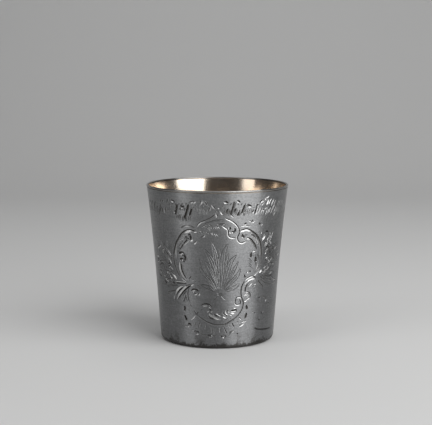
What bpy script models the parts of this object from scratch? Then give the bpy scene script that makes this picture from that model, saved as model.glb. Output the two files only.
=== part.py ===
"""A small tapered silver beaker, modelled as the parts a silversmith solders together.

Metres, +Z up. The beaker stands on z = 0 with its axis on Z, and its seam is at the back, on +Y.
"""

import math

import bmesh
import bpy

# The beaker as a whole
HEIGHT = 0.0770               # from the table to the top of the lip wire
LIP_RADIUS = 0.0351           # outside of the lip wire
FOOT_RADIUS = 0.0281          # outside of the wall, carried straight down to the table
FLARE = 0.0014                # how far the mouth spreads beyond a straight taper
FLARE_POWER = 3.0             # how high up the wall that spread begins

# The sheet of the wall
WALL_THICKNESS = 0.0006
FOOT_BEND = 0.0014            # inside radius where the wall turns under
FOOT_LIP_WIDTH = 0.0026       # flat ring turned in under the base, which the beaker stands on

# The wire on the lip
WIRE_RADIUS = 0.0005

# The base
BASE_THICKNESS = 0.0007
BASE_DOME = 0.0008            # rise in the middle of the base

# The solder
SEAM_WIDTH = 0.0012           # strip down the wall's butt seam
FILLET_OVERLAP = 0.0012       # how far the fillet reaches in over the base
FILLET_HEIGHT = 0.0013        # how far the fillet climbs the wall

# Gap between neighbouring pieces
CLEARANCE = 0.0003

# How finely the round shapes are cut
STEPS_AROUND = 72
STEPS_UP_WALL = 9
STEPS_IN_BEND = 4
STEPS_ACROSS_BASE = 5
STEPS_IN_FILLET = 3
STEPS_IN_WIRE = 12
MERGE_DISTANCE = 0.00001
SHARP_ANGLE = math.radians(40)
CUTTER_MARGIN = 0.002

# Heights and radii that follow from the sizes above
WIRE_CENTRE_RADIUS = LIP_RADIUS - WIRE_RADIUS
WALL_TOP = HEIGHT - 2 * WIRE_RADIUS - CLEARANCE
WALL_TOP_RADIUS = WIRE_CENTRE_RADIUS + WALL_THICKNESS / 2
OUTER_BEND = FOOT_BEND + WALL_THICKNESS
BASE_BOTTOM = WALL_THICKNESS + CLEARANCE
FILLET_BOTTOM = BASE_BOTTOM + BASE_THICKNESS + CLEARANCE
FILLET_TOP = FILLET_BOTTOM + FILLET_HEIGHT


def outer_radius(z):
    """Outside of the wall at a height above its foot bend."""
    t = z / WALL_TOP
    straight = (WALL_TOP_RADIUS - FOOT_RADIUS - FLARE) * t
    return FOOT_RADIUS + straight + FLARE * t ** FLARE_POWER


# The lean of the wall at its foot, where the bend is tangent to it
FOOT_LEAN = math.atan2(WALL_TOP_RADIUS - FOOT_RADIUS - FLARE, WALL_TOP)
BEND_START = OUTER_BEND * (1 - math.sin(FOOT_LEAN))
BEND_CENTRE_RADIUS = outer_radius(BEND_START) - OUTER_BEND * math.cos(FOOT_LEAN)
INNER_BEND_START = OUTER_BEND - FOOT_BEND * math.sin(FOOT_LEAN)


def inner_radius(z):
    """Inside of the wall at a height above the top of its turned-in foot."""
    if z >= INNER_BEND_START:
        return outer_radius(z) - WALL_THICKNESS / math.cos(FOOT_LEAN)
    return BEND_CENTRE_RADIUS + math.sqrt(FOOT_BEND ** 2 - (OUTER_BEND - z) ** 2)


def spread(start, end, count):
    """Evenly spaced values from start to end, both included."""
    return [start + (end - start) * i / count for i in range(count + 1)]


def bend_arc(radius):
    """Points of the foot bend, from the leaning wall round to the flat of the foot."""
    points = []
    for angle in spread(-FOOT_LEAN, -math.pi / 2, STEPS_IN_BEND):
        r = BEND_CENTRE_RADIUS + radius * math.cos(angle)
        points.append((r, OUTER_BEND + radius * math.sin(angle)))
    return points


def wall_section():
    """Closed outline of the sheet: down the outside, under the foot, and up the inside."""
    outside = [(outer_radius(z), z) for z in spread(WALL_TOP, BEND_START, STEPS_UP_WALL)]
    inside = [(inner_radius(z), z) for z in spread(INNER_BEND_START, WALL_TOP, STEPS_UP_WALL)]
    lip_edge = BEND_CENTRE_RADIUS - FOOT_LIP_WIDTH
    foot = [(lip_edge, 0.0), (lip_edge, WALL_THICKNESS)]
    inner_arc = bend_arc(FOOT_BEND)
    inner_arc.reverse()
    return outside + bend_arc(OUTER_BEND)[1:] + foot + inner_arc[:-1] + inside


def base_rise(r):
    """How far the base stands above its edge at a distance from the axis."""
    flat_start = BEND_CENTRE_RADIUS - FOOT_LIP_WIDTH
    if r >= flat_start:
        return 0.0
    return BASE_DOME * (1 + math.cos(math.pi * r / flat_start)) / 2


def base_section():
    """Half section of the base disc, from its middle out over the top and back underneath."""
    flat_start = BEND_CENTRE_RADIUS - FOOT_LIP_WIDTH
    radii = spread(0.0, flat_start, STEPS_ACROSS_BASE) + [BEND_CENTRE_RADIUS]
    bottom = [(r, BASE_BOTTOM + base_rise(r)) for r in radii]
    top = [(r, z + BASE_THICKNESS) for r, z in bottom]
    bottom.reverse()
    return top + bottom


def fillet_section():
    """Closed outline of the solder fillet between the base disc and the wall."""
    toe = BEND_CENTRE_RADIUS - FILLET_OVERLAP
    heel = inner_radius(FILLET_BOTTOM) - CLEARANCE
    crest = inner_radius(FILLET_TOP) - CLEARANCE
    points = [(crest, FILLET_TOP), (heel, FILLET_BOTTOM)]
    for t in spread(0.0, 1.0, STEPS_IN_FILLET)[:-1]:
        r = toe + (crest - toe) * (2 * t - t * t)
        points.append((r, FILLET_BOTTOM + FILLET_HEIGHT * t * t))
    return points


def empty_scene():
    """Remove whatever the file opened with."""
    for obj in list(bpy.data.objects):
        bpy.data.objects.remove(obj, do_unlink=True)


def collection_named(name):
    collection = bpy.data.collections.new(name)
    bpy.context.scene.collection.children.link(collection)
    return collection


def metal(name, color, roughness):
    """A plain metal for the eye: colour and roughness as the photograph shows them."""
    material = bpy.data.materials.new(name)
    material.use_nodes = True
    shader = material.node_tree.nodes["Principled BSDF"]
    shader.inputs["Base Color"].default_value = (*color, 1.0)
    shader.inputs["Metallic"].default_value = 1.0
    shader.inputs["Roughness"].default_value = roughness
    return material


def smooth(mesh):
    mesh.shade_smooth()
    mesh.set_sharp_from_angle(angle=SHARP_ANGLE)


def turned(name, points, closed, collection):
    """Turn an outline of (radius, height) points round the Z axis."""
    mesh = bpy.data.meshes.new(name)
    count = len(points)
    edges = [(i, i + 1) for i in range(count - 1)]
    if closed:
        edges.append((count - 1, 0))
    mesh.from_pydata([(r, 0.0, z) for r, z in points], edges, [])
    obj = bpy.data.objects.new(name, mesh)
    collection.objects.link(obj)
    screw = obj.modifiers.new("turn", "SCREW")
    screw.axis = "Z"
    screw.angle = 2 * math.pi
    screw.steps = STEPS_AROUND
    screw.render_steps = STEPS_AROUND
    screw.use_merge_vertices = True
    screw.merge_threshold = MERGE_DISTANCE
    screw.use_smooth_shade = True
    return obj


def seam_block(name, width, collection):
    """A block at the back that spans the seam, for cutting the wall or its solder."""
    inner = (BEND_CENTRE_RADIUS - FOOT_LIP_WIDTH) / 2
    outer = LIP_RADIUS + CUTTER_MARGIN
    low = -CUTTER_MARGIN
    high = HEIGHT + CUTTER_MARGIN
    mesh = bpy.data.meshes.new(name)
    form = bmesh.new()
    bmesh.ops.create_cube(form, size=1.0)
    bmesh.ops.scale(form, vec=(width, outer - inner, high - low), verts=form.verts)
    form.to_mesh(mesh)
    form.free()
    block = bpy.data.objects.new(name, mesh)
    block.location = (0.0, (inner + outer) / 2, (low + high) / 2)
    block.hide_render = True
    block.display_type = "WIRE"
    collection.objects.link(block)
    return block


def boolean(obj, cutter, operation):
    modifier = obj.modifiers.new(operation.lower(), "BOOLEAN")
    modifier.operation = operation
    modifier.solver = "EXACT"
    modifier.object = cutter


def make_wall(parts, cutters, material):
    """The rolled sheet, open at the seam, with its foot turned in."""
    wall = turned("wall", wall_section(), True, parts)
    slot = seam_block("seam_slot", SEAM_WIDTH + 2 * CLEARANCE, cutters)
    boolean(wall, slot, "DIFFERENCE")
    wall.data.materials.append(material)
    return wall


def make_seam_solder(parts, cutters, material):
    """The strip of solder that closes the wall's seam, with the wall's own section."""
    seam = turned("seam_solder", wall_section(), True, parts)
    strip = seam_block("seam_strip", SEAM_WIDTH, cutters)
    boolean(seam, strip, "INTERSECT")
    seam.data.materials.append(material)
    return seam


def make_lip_wire(parts, material):
    """The round wire soldered along the wall's top edge."""
    bpy.ops.mesh.primitive_torus_add(
        major_radius=WIRE_CENTRE_RADIUS,
        minor_radius=WIRE_RADIUS,
        major_segments=STEPS_AROUND,
        minor_segments=STEPS_IN_WIRE,
        location=(0.0, 0.0, HEIGHT - WIRE_RADIUS),
    )
    wire = bpy.context.active_object
    wire.name = "lip_wire"
    wire.data.name = "lip_wire"
    for collection in list(wire.users_collection):
        collection.objects.unlink(wire)
    parts.objects.link(wire)
    wire.data.shade_smooth()
    wire.data.materials.append(material)
    return wire


def make_base_disc(parts, material):
    """The disc laid in from above, slightly domed, that closes the bottom."""
    disc = turned("base_disc", base_section(), False, parts)
    disc.data.materials.append(material)
    return disc


def make_base_solder(parts, material):
    """The fillet of solder run round the inside where the base meets the wall."""
    fillet = turned("base_solder", fillet_section(), True, parts)
    fillet.data.materials.append(material)
    return fillet


def make_beaker():
    empty_scene()
    parts = collection_named("beaker")
    cutters = collection_named("cutters")
    silver = metal("silver", (0.66, 0.65, 0.62), 0.36)
    gilt = metal("gilt_silver", (0.86, 0.66, 0.40), 0.24)
    solder = metal("silver_solder", (0.62, 0.61, 0.57), 0.42)
    pieces = [
        make_wall(parts, cutters, silver),
        make_seam_solder(parts, cutters, solder),
        make_lip_wire(parts, silver),
        make_base_disc(parts, gilt),
        make_base_solder(parts, solder),
    ]
    stand = bpy.data.objects.new("beaker_origin", None)
    parts.objects.link(stand)
    for piece in pieces:
        piece.parent = stand
    return pieces


make_beaker()
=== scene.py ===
import math
import random

import bmesh
import bpy
import numpy as np
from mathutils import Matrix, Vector
from mathutils.geometry import delaunay_2d_cdt


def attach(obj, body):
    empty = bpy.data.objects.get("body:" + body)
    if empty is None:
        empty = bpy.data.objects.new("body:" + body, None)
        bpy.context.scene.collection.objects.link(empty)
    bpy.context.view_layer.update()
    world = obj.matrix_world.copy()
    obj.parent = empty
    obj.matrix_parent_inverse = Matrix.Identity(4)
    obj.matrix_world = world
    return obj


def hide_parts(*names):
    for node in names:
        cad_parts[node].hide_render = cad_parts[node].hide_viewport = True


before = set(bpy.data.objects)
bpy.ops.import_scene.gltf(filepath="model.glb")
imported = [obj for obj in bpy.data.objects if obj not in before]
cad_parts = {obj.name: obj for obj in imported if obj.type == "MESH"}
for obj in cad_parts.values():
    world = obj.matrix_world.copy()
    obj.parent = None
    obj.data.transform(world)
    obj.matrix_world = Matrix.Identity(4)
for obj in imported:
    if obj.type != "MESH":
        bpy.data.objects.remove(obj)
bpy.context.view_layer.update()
print("frame loaded:", len(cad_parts), "nodes")

mm = 0.001
perMetre = 1000.0

# Sizes in millimetres, the same as the turned solids have
beaker = {
    "height": 77.0,
    "lipRadius": 35.1,
    "footRadius": 28.1,
    "flare": 1.4,
    "wallTop": 75.7,
    "wallTopRadius": 34.9,
    "wallThickness": 0.6,
    "insideBend": 1.4,
    "footRing": 2.6,
    "wireRadius": 0.5,
    "baseThickness": 0.7,
    "baseDome": 0.8,
    "baseBottom": 0.9,
    "sheetInset": 0.05,      # the sheet's inner face stands back this much under the gilding
    "wrapRadius": 31.2,      # the arc lengths of the engraving are measured at this radius
    "columns": 144,
}
outsideBend = beaker["insideBend"] + beaker["wallThickness"]
rise = beaker["wallTopRadius"] - beaker["footRadius"] - beaker["flare"]
footLean = math.atan2(rise, beaker["wallTop"])
bendStart = outsideBend * (1 - math.sin(footLean))


def turnedRadius(z):
    t = z / beaker["wallTop"]
    return beaker["footRadius"] + rise * t + beaker["flare"] * t ** 3


bendCentre = turnedRadius(bendStart) - outsideBend * math.cos(footLean)

# How uneven the hammer left the wall; a ripple is height in millimetres, times round, slant, phase
hammered = {
    "swell": 0.030,
    "ripples": [(0.020, 9, -0.110, 2.0), (0.012, 15, 0.190, 0.7), (0.006, 27, -0.310, 1.3)],
    "from": 4.4,             # the wall is true below this height
    "footFade": 3.0,
    "lipFade": 4.0,
}

# Knocks that the beaker has taken: arc, height, spread and depth in millimetres
dents = [
    (23.5, 24.0, 1.1, 0.10),
    (24.5, 13.0, 0.9, 0.09),
    (26.5, 16.3, 1.0, 0.08),
    (20.8, 16.8, 0.8, 0.06),
    (27.0, 7.6, 3.4, 0.12),
    (34.0, 7.0, 4.2, 0.12),
    (-27.0, 12.0, 6.5, 0.16),
    (-66.0, 40.0, 7.0, 0.18),
    (71.0, 19.0, 5.0, 0.16),
]


def handRaised(arc, z):
    # Slow unevenness that is left by the hammer and the planishing
    a = arc / beaker["wrapRadius"]
    wave = hammered["swell"] * np.sin(4 * a + 0.9) * np.sin(0.085 * z + 0.4)
    for height, timesRound, slant, phase in hammered["ripples"]:
        wave = wave + height * np.sin(timesRound * a + slant * z + phase)
    for where, height, spread, depth in dents:
        away = ((arc - where) ** 2 + (z - height) ** 2) / spread ** 2
        wave = wave - depth * np.exp(-away)
    aboveFoot = np.clip((z - hammered["from"]) / hammered["footFade"], 0, 1)
    belowLip = np.clip((beaker["wallTop"] - z) / hammered["lipFade"], 0, 1)
    return wave * aboveFoot * belowLip


def wallRadius(arc, z):
    return turnedRadius(z) + handRaised(arc, z)


def onWall(arc, z, inward):
    # Points of the wall in metres, pushed in by the depth of a cut
    r = wallRadius(arc, z) - inward
    a = arc / beaker["wrapRadius"]
    return np.stack([r * np.sin(a), -r * np.cos(a), z], axis=-1) * mm


def wallNormal(arc, z):
    a = arc / beaker["wrapRadius"]
    tiny = 0.02
    r = wallRadius(arc, z)
    alongArc = (wallRadius(arc + tiny, z) - wallRadius(arc - tiny, z)) / (2 * tiny)
    alongArc = alongArc * beaker["wrapRadius"] / r
    alongZ = (wallRadius(arc, z + tiny) - wallRadius(arc, z - tiny)) / (2 * tiny)
    outward = np.stack([np.sin(a), -np.cos(a), np.zeros_like(a)], axis=-1)
    around = np.stack([np.cos(a), np.sin(a), np.zeros_like(a)], axis=-1)
    up = np.array([0.0, 0.0, 1.0])
    normal = outward - around * alongArc[..., None] - up * alongZ[..., None]
    return normal / np.linalg.norm(normal, axis=-1, keepdims=True)


# How the graver was held for each kind of cut. Width and swell in millimetres; slope is depth
# over half the width; lean moves the bottom of the cut towards its steep side. Mark is painted
# shade, with some tarnish, on that side, and gleam a painted highlight on the broad side; below 0
# it is dark as well. A mark below 0 paints the steep side light too.
gravers = {
    "line": {"width": 0.95, "slope": 0.36, "lean": 0.0, "swell": 1.6, "mark": 0.75, "gleam": 0.45},
    "bold": {"width": 1.30, "slope": 0.38, "lean": 0.0, "swell": 2.0, "mark": 0.95, "gleam": 0.75},
    # side -1 moves the painted shade and the painted highlight to the other sides of the cut
    "stem": {"width": 1.70, "slope": 0.38, "lean": 0.0, "swell": 3.0, "mark": 0.95, "gleam": 0.85,
             "side": -1},
    "brace": {"width": 1.30, "slope": 0.38, "lean": 0.1, "swell": 2.0, "mark": 0.95, "gleam": 0.85,
              "side": -1},
    "thick": {"width": 1.50, "slope": 0.36, "lean": -0.15, "swell": 1.0, "mark": 1.0, "gleam": 0.3},
    "leaf": {"width": 1.20, "slope": 0.36, "lean": 0.1, "swell": 1.5, "mark": 0.8, "gleam": 0.35},
    "blade": {"width": 1.15, "slope": 0.36, "lean": 0.25, "swell": 1.6, "mark": 0.8, "gleam": 0.5,
              "point": 1.0},
    "barb": {"width": 1.35, "slope": 0.36, "lean": 0.45, "swell": 2.2, "mark": 0.8, "gleam": 0.95,
             "point": 1.0},
    "turned": {"width": 1.20, "slope": 0.36, "lean": 0.0, "swell": 1.5, "mark": 0.8, "gleam": 0.6,
               "side": -1},
    "fine": {"width": 0.72, "slope": 0.36, "lean": 0.0, "swell": 1.1, "mark": 0.65, "gleam": 0.4},
    "hair": {"width": 0.46, "slope": 0.34, "lean": 0.0, "swell": 1.2, "mark": 0.55, "gleam": 0.35},
    "worn": {"width": 0.50, "slope": 0.32, "lean": 0.0, "swell": 1.2, "mark": 0.7, "gleam": 0.12},
    "nick": {"width": 0.60, "slope": 0.38, "lean": 0.1, "swell": 1.2, "mark": 0.95, "gleam": 0.3},
    "tick": {"width": 0.66, "slope": 0.38, "lean": 0.1, "swell": 1.2, "mark": 0.9, "gleam": 0.9},
    # ribbon, shine and sheen are painted highlights: both sides of these shallow cuts are painted light
    "ribbon": {"width": 1.05, "slope": 0.28, "lean": 0.0, "swell": 1.8, "mark": -0.4, "gleam": 0.9},
    "shine": {"width": 0.74, "slope": 0.26, "lean": 0.0, "swell": 3.0, "mark": -0.3, "gleam": 0.95},
    "sheen": {"width": 0.90, "slope": 0.24, "lean": 0.0, "swell": 3.0, "mark": -0.15, "gleam": 0.5},
    "dot": {"width": 1.10, "slope": 0.40, "lean": -0.45, "swell": 0.5, "mark": 1.0, "gleam": 0.0},
    "pit": {"width": 0.95, "slope": 0.40, "lean": 0.0, "swell": 0.6, "mark": 0.85, "gleam": -0.6},
    "scored": {"width": 0.80, "slope": 0.38, "lean": 0.0, "swell": 0.9, "mark": 1.0, "gleam": -0.4},
    "bead": {"width": 1.05, "slope": 0.34, "lean": 0.40, "swell": 0.6, "mark": 0.7, "gleam": 0.6},
}

# The scrolled frame on the front: (arc, height) in millimetres from the middle of the front
cartouche = {
    "line": [
        # crest, right half
        [(3.5, 63.9), (5.4, 63.1), (7.1, 62.0), (8.6, 60.6), (9.5, 59.2), (9.9, 57.7),
         (9.7, 56.3), (9.2, 55.1), (9.1, 54.1), (9.6, 52.9), (10.6, 52.0), (11.7, 51.8),
         (12.8, 52.3), (13.9, 52.8)],
        [(-0.4, 61.1), (1.0, 61.1), (2.6, 61.3), (3.9, 60.9)],
        [(2.0, 60.3), (3.3, 59.6), (4.5, 58.6), (4.8, 57.2), (4.9, 55.8), (5.8, 54.8), (7.0, 54.5),
         (8.8, 54.5)],
        # crest, left half
        [(-9.2, 59.6), (-8.7, 60.7), (-7.6, 61.8), (-6.2, 62.5), (-4.5, 63.3), (-3.0, 64.2),
         (-1.6, 65.1), (-0.7, 66.2)],
        # the outer line of the left scroll runs down to the spray
        [(-22.5, 45.2), (-22.4, 43.0), (-22.0, 40.8), (-21.1, 38.2), (-19.8, 35.8), (-18.0, 34.0),
         (-15.8, 32.6)],
        # upper right scroll
        [(22.8, 44.0), (22.8, 42.3), (22.4, 40.6), (21.5, 39.2), (20.2, 37.6), (18.8, 36.2)],
        [(20.2, 46.0), (20.8, 44.6), (21.0, 43.2)],
        [(15.6, 55.8), (16.8, 55.4), (17.9, 54.4), (18.7, 53.3)],
        [(19.5, 42.3), (19.7, 41.2), (19.5, 40.0)],
        # the long line under the frame, ending in a ring
        [(-14.2, 29.7), (-14.7, 28.3), (-15.0, 27.0), (-14.9, 25.5), (-14.6, 24.0), (-14.2, 22.6)],
        [(-12.3, 19.2), (-11.2, 17.8), (-10.1, 16.5), (-8.8, 15.3), (-7.0, 14.3),
         (-5.0, 13.2), (-2.5, 12.4), (0.0, 12.0), (3.0, 12.1), (5.0, 12.7), (6.8, 13.7),
         (8.5, 14.7), (10.0, 15.8), (11.4, 17.4), (12.5, 19.0), (13.1, 20.5), (13.4, 22.0),
         (13.2, 23.4), (12.6, 24.6), (11.8, 25.3), (10.8, 25.5), (9.7, 25.1), (9.0, 24.2),
         (8.8, 23.1), (9.2, 22.1), (10.1, 21.6), (11.3, 21.8), (11.8, 22.7), (11.6, 23.7),
         (10.9, 24.5)],
        # lower right scroll
        [(20.4, 34.0), (18.8, 35.0), (17.0, 35.0), (15.5, 34.4), (14.1, 33.6), (12.9, 32.2),
         (12.2, 30.6), (11.9, 28.9), (11.9, 27.0), (12.3, 25.2), (12.9, 24.3)],
        [(14.4, 27.2), (15.6, 27.5), (16.6, 27.1), (17.2, 26.1), (17.1, 25.0), (16.3, 24.3),
         (15.0, 24.0)],
    ],
    "bold": [
        # the two upper scrolls
        [(-9.2, 57.4), (-10.6, 57.4), (-11.8, 57.9), (-13.2, 57.9), (-14.9, 57.4), (-16.6, 56.2),
         (-17.8, 54.8), (-19.1, 53.0), (-20.2, 51.2), (-20.9, 49.5), (-21.5, 47.8), (-22.0, 46.2),
         (-22.3, 44.8)],
        [(10.2, 56.9), (10.9, 57.7), (12.3, 58.1), (13.6, 58.3), (15.0, 57.8), (16.6, 56.9),
         (18.1, 55.9), (19.2, 54.8), (20.2, 53.6), (21.0, 52.1), (21.7, 50.4), (22.1, 48.7),
         (22.4, 46.9), (22.7, 45.0), (22.7, 43.6)],
        [(13.3, 53.9), (14.7, 53.9), (16.0, 53.2), (17.2, 51.9), (18.2, 50.6), (19.0, 49.3),
         (19.6, 48.0)],
    ],
    "shine": [
        [(-12.4, 57.2), (-14.2, 57.1), (-15.8, 56.3)],
        [(-12.8, 53.2), (-13.8, 52.5), (-14.8, 51.6), (-15.7, 50.7)],
        [(21.0, 42.1), (20.8, 40.5), (20.2, 38.8), (19.9, 37.2), (18.8, 35.8)],
        [(-15.0, 52.0), (-16.2, 50.6), (-17.2, 49.0)],
        [(13.7, 30.9), (13.3, 29.6), (13.1, 28.2), (13.1, 26.8)],
        [(13.5, 25.8), (14.6, 26.4), (15.8, 26.2), (16.0, 25.3), (15.2, 24.9)],
        [(13.9, 23.1), (15.6, 23.5)],
        [(20.4, 31.1), (19.1, 30.8)],
        [(-4.3, 59.4), (-2.9, 58.0)],
    ],
    "sheen": [
        [(-16.4, 56.0), (-17.8, 54.2), (-19.0, 52.3), (-19.9, 50.2), (-20.6, 47.8), (-20.9, 45.4),
         (-20.9, 43.2)],
        [(19.4, 53.8), (20.5, 51.7), (21.2, 49.3), (21.6, 46.8), (21.7, 44.6)],
    ],
    "nick": [
        [(-16.3, 52.7), (-17.2, 51.8)],
        [(-17.2, 51.7), (-18.0, 50.7)],
        [(-17.9, 50.7), (-18.7, 49.8)],
        [(-19.1, 49.8), (-19.9, 48.9)],
        [(-18.9, 47.6), (-19.6, 46.9)],
        [(-0.2, 60.4), (0.4, 59.2)],
        [(-2.0, 59.4), (-1.1, 59.9)],
        [(-3.8, 61.0), (-2.2, 60.2)],
        [(-2.5, 57.2), (-1.5, 55.8)],
    ],
    "ribbon": [
        [(16.2, 54.8), (17.4, 54.0), (18.6, 52.9), (19.6, 51.7), (20.2, 50.8)],
        [(19.8, 33.6), (18.5, 34.0), (17.2, 33.9), (15.9, 33.4), (14.8, 32.6), (14.0, 31.5)],
        [(18.2, 31.9), (16.9, 31.0), (15.8, 30.1)],
    ],
    "barb": [
        [(22.6, 39.1), (21.2, 37.5), (19.8, 36.1), (18.4, 35.0)],
        [(-12.8, 52.6), (-12.0, 53.1), (-11.3, 53.9)],
    ],
    "scored": [
        # the twisted edge of the left scroll
        [(-13.4, 53.9), (-14.4, 53.0), (-15.4, 51.9), (-16.3, 50.8)],
        [(-16.1, 51.2), (-17.0, 50.0), (-17.7, 49.0)],
        [(-17.7, 49.2), (-18.8, 48.1)],
        [(-18.5, 47.4), (-19.2, 47.0)],
        [(12.3, 54.3), (12.9, 55.3), (14.1, 56.0)],
        [(18.0, 46.1), (18.6, 46.5), (19.3, 46.6)],
        [(16.0, 38.2), (16.9, 37.3)],
        # behind the lower right scroll
        [(15.9, 32.0), (15.1, 31.2), (14.6, 30.2), (14.3, 29.0), (14.3, 27.8)],
        [(20.2, 30.2), (18.4, 29.9)],
        [(13.5, 36.6), (13.6, 35.7), (14.1, 35.0), (15.1, 34.9)],
    ],
    "stem": [
        # the left stem has painted shade on its inner side
        [(-18.9, 42.0), (-18.8, 40.3), (-18.6, 38.6), (-18.0, 36.9), (-16.9, 35.2), (-15.4, 33.4)],
    ],
    "thick": [
        [(7.8, 59.4), (7.8, 58.2), (7.2, 57.4), (6.2, 57.6)],
        [(5.7, 60.1), (5.5, 59.3), (5.3, 58.4)],
        [(-13.9, 55.9), (-12.8, 55.7), (-12.2, 54.9), (-12.2, 54.0), (-12.7, 53.2)],
        [(-15.5, 54.7), (-14.7, 54.4), (-13.9, 53.7), (-13.1, 53.4)],
        [(-19.2, 45.7), (-18.5, 46.4), (-17.5, 46.7), (-16.4, 46.1), (-15.6, 45.0), (-15.6, 43.9),
         (-16.1, 42.9)],
        [(-18.9, 42.9), (-18.1, 43.5), (-17.2, 43.5), (-16.5, 42.9), (-16.5, 42.1)],
        [(-18.2, 41.3), (-18.1, 39.7), (-17.9, 38.2), (-17.3, 36.7), (-16.5, 35.4)],
        [(16.9, 47.1), (16.5, 46.2), (16.5, 45.2), (16.9, 44.4)],
        [(19.0, 44.8), (19.3, 43.7), (19.3, 42.8), (20.2, 42.1)],
        [(11.5, 56.4), (11.6, 55.3), (12.3, 54.2)],
        [(-13.1, 28.2), (-12.2, 28.9), (-11.0, 29.0), (-10.0, 28.7), (-9.3, 28.0)],
    ],
    "blade": [
        [(-11.8, 51.2), (-10.5, 51.8), (-9.2, 53.0)],
        [(-7.9, 54.6), (-6.7, 54.9), (-5.4, 56.0)],
        [(-16.6, 30.1), (-14.7, 30.8), (-12.9, 31.3), (-11.1, 32.1)],
        [(-12.5, 35.7), (-13.3, 34.7), (-13.9, 33.6)],
        [(-11.6, 26.3), (-10.6, 27.0), (-9.8, 27.4)],
        [(-9.8, 26.3), (-9.1, 26.9), (-8.9, 27.8)],
    ],
    "leaf": [
        [(-17.3, 45.9), (-16.7, 45.2)],
    ],
    "fine": [
        [(-22.4, 51.8), (-23.4, 49.2), (-24.0, 46.6), (-24.2, 43.8), (-23.9, 41.0)],
        [(-6.0, 60.9), (-4.0, 62.0), (-1.5, 62.9), (1.0, 63.2), (3.0, 63.2)],
        [(-7.4, 59.4), (-5.6, 60.6), (-3.4, 61.6)],
        [(-8.4, 57.0), (-7.0, 56.8)],
        [(18.9, 54.9), (19.8, 53.6), (20.6, 52.0)],
        [(20.2, 51.6), (21.0, 49.8), (21.4, 48.0)],
        [(-16.0, 26.0), (-15.9, 24.4), (-15.6, 22.8)],
        [(-12.4, 33.6), (-11.2, 34.4)],
        [(-10.2, 31.3), (-8.9, 30.7), (-8.0, 29.6)],
        [(-17.4, 58.7), (-14.6, 60.0), (-11.9, 59.8), (-9.9, 58.8)],
        [(10.6, 59.9), (12.8, 60.2), (15.4, 59.5)],
    ],
    "dot": [
        [(-18.3, 41.7), (-17.8, 41.4)],
        [(17.6, 45.4), (18.3, 45.3)],
        [(-11.8, 27.2), (-11.0, 27.6)],
        [(-10.9, 25.9), (-10.3, 26.2)],
        [(-11.4, 33.4), (-10.8, 33.2)],
        [(-11.2, 32.5), (-10.7, 32.3)],
        [(-9.2, 33.4), (-8.7, 33.2)],
    ],
    "bead": [
        [(5.4, 57.3), (6.4, 56.8)],
        [(-8.0, 57.8), (-7.3, 57.6)],
        [(-16.0, 53.9), (-15.2, 53.7)],
        [(-18.4, 42.4), (-17.6, 42.3)],
        [(17.4, 47.0), (18.1, 47.4), (18.8, 47.1)],
        [(14.3, 36.8), (15.0, 37.5), (15.8, 36.9)],
        [(18.7, 45.3), (19.3, 45.1)],
        [(-12.5, 27.9), (-11.5, 28.2)],
        [(12.0, 53.4), (12.8, 53.2)],
        [(-18.4, 45.7), (-17.3, 45.8)],
    ],
}

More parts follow.
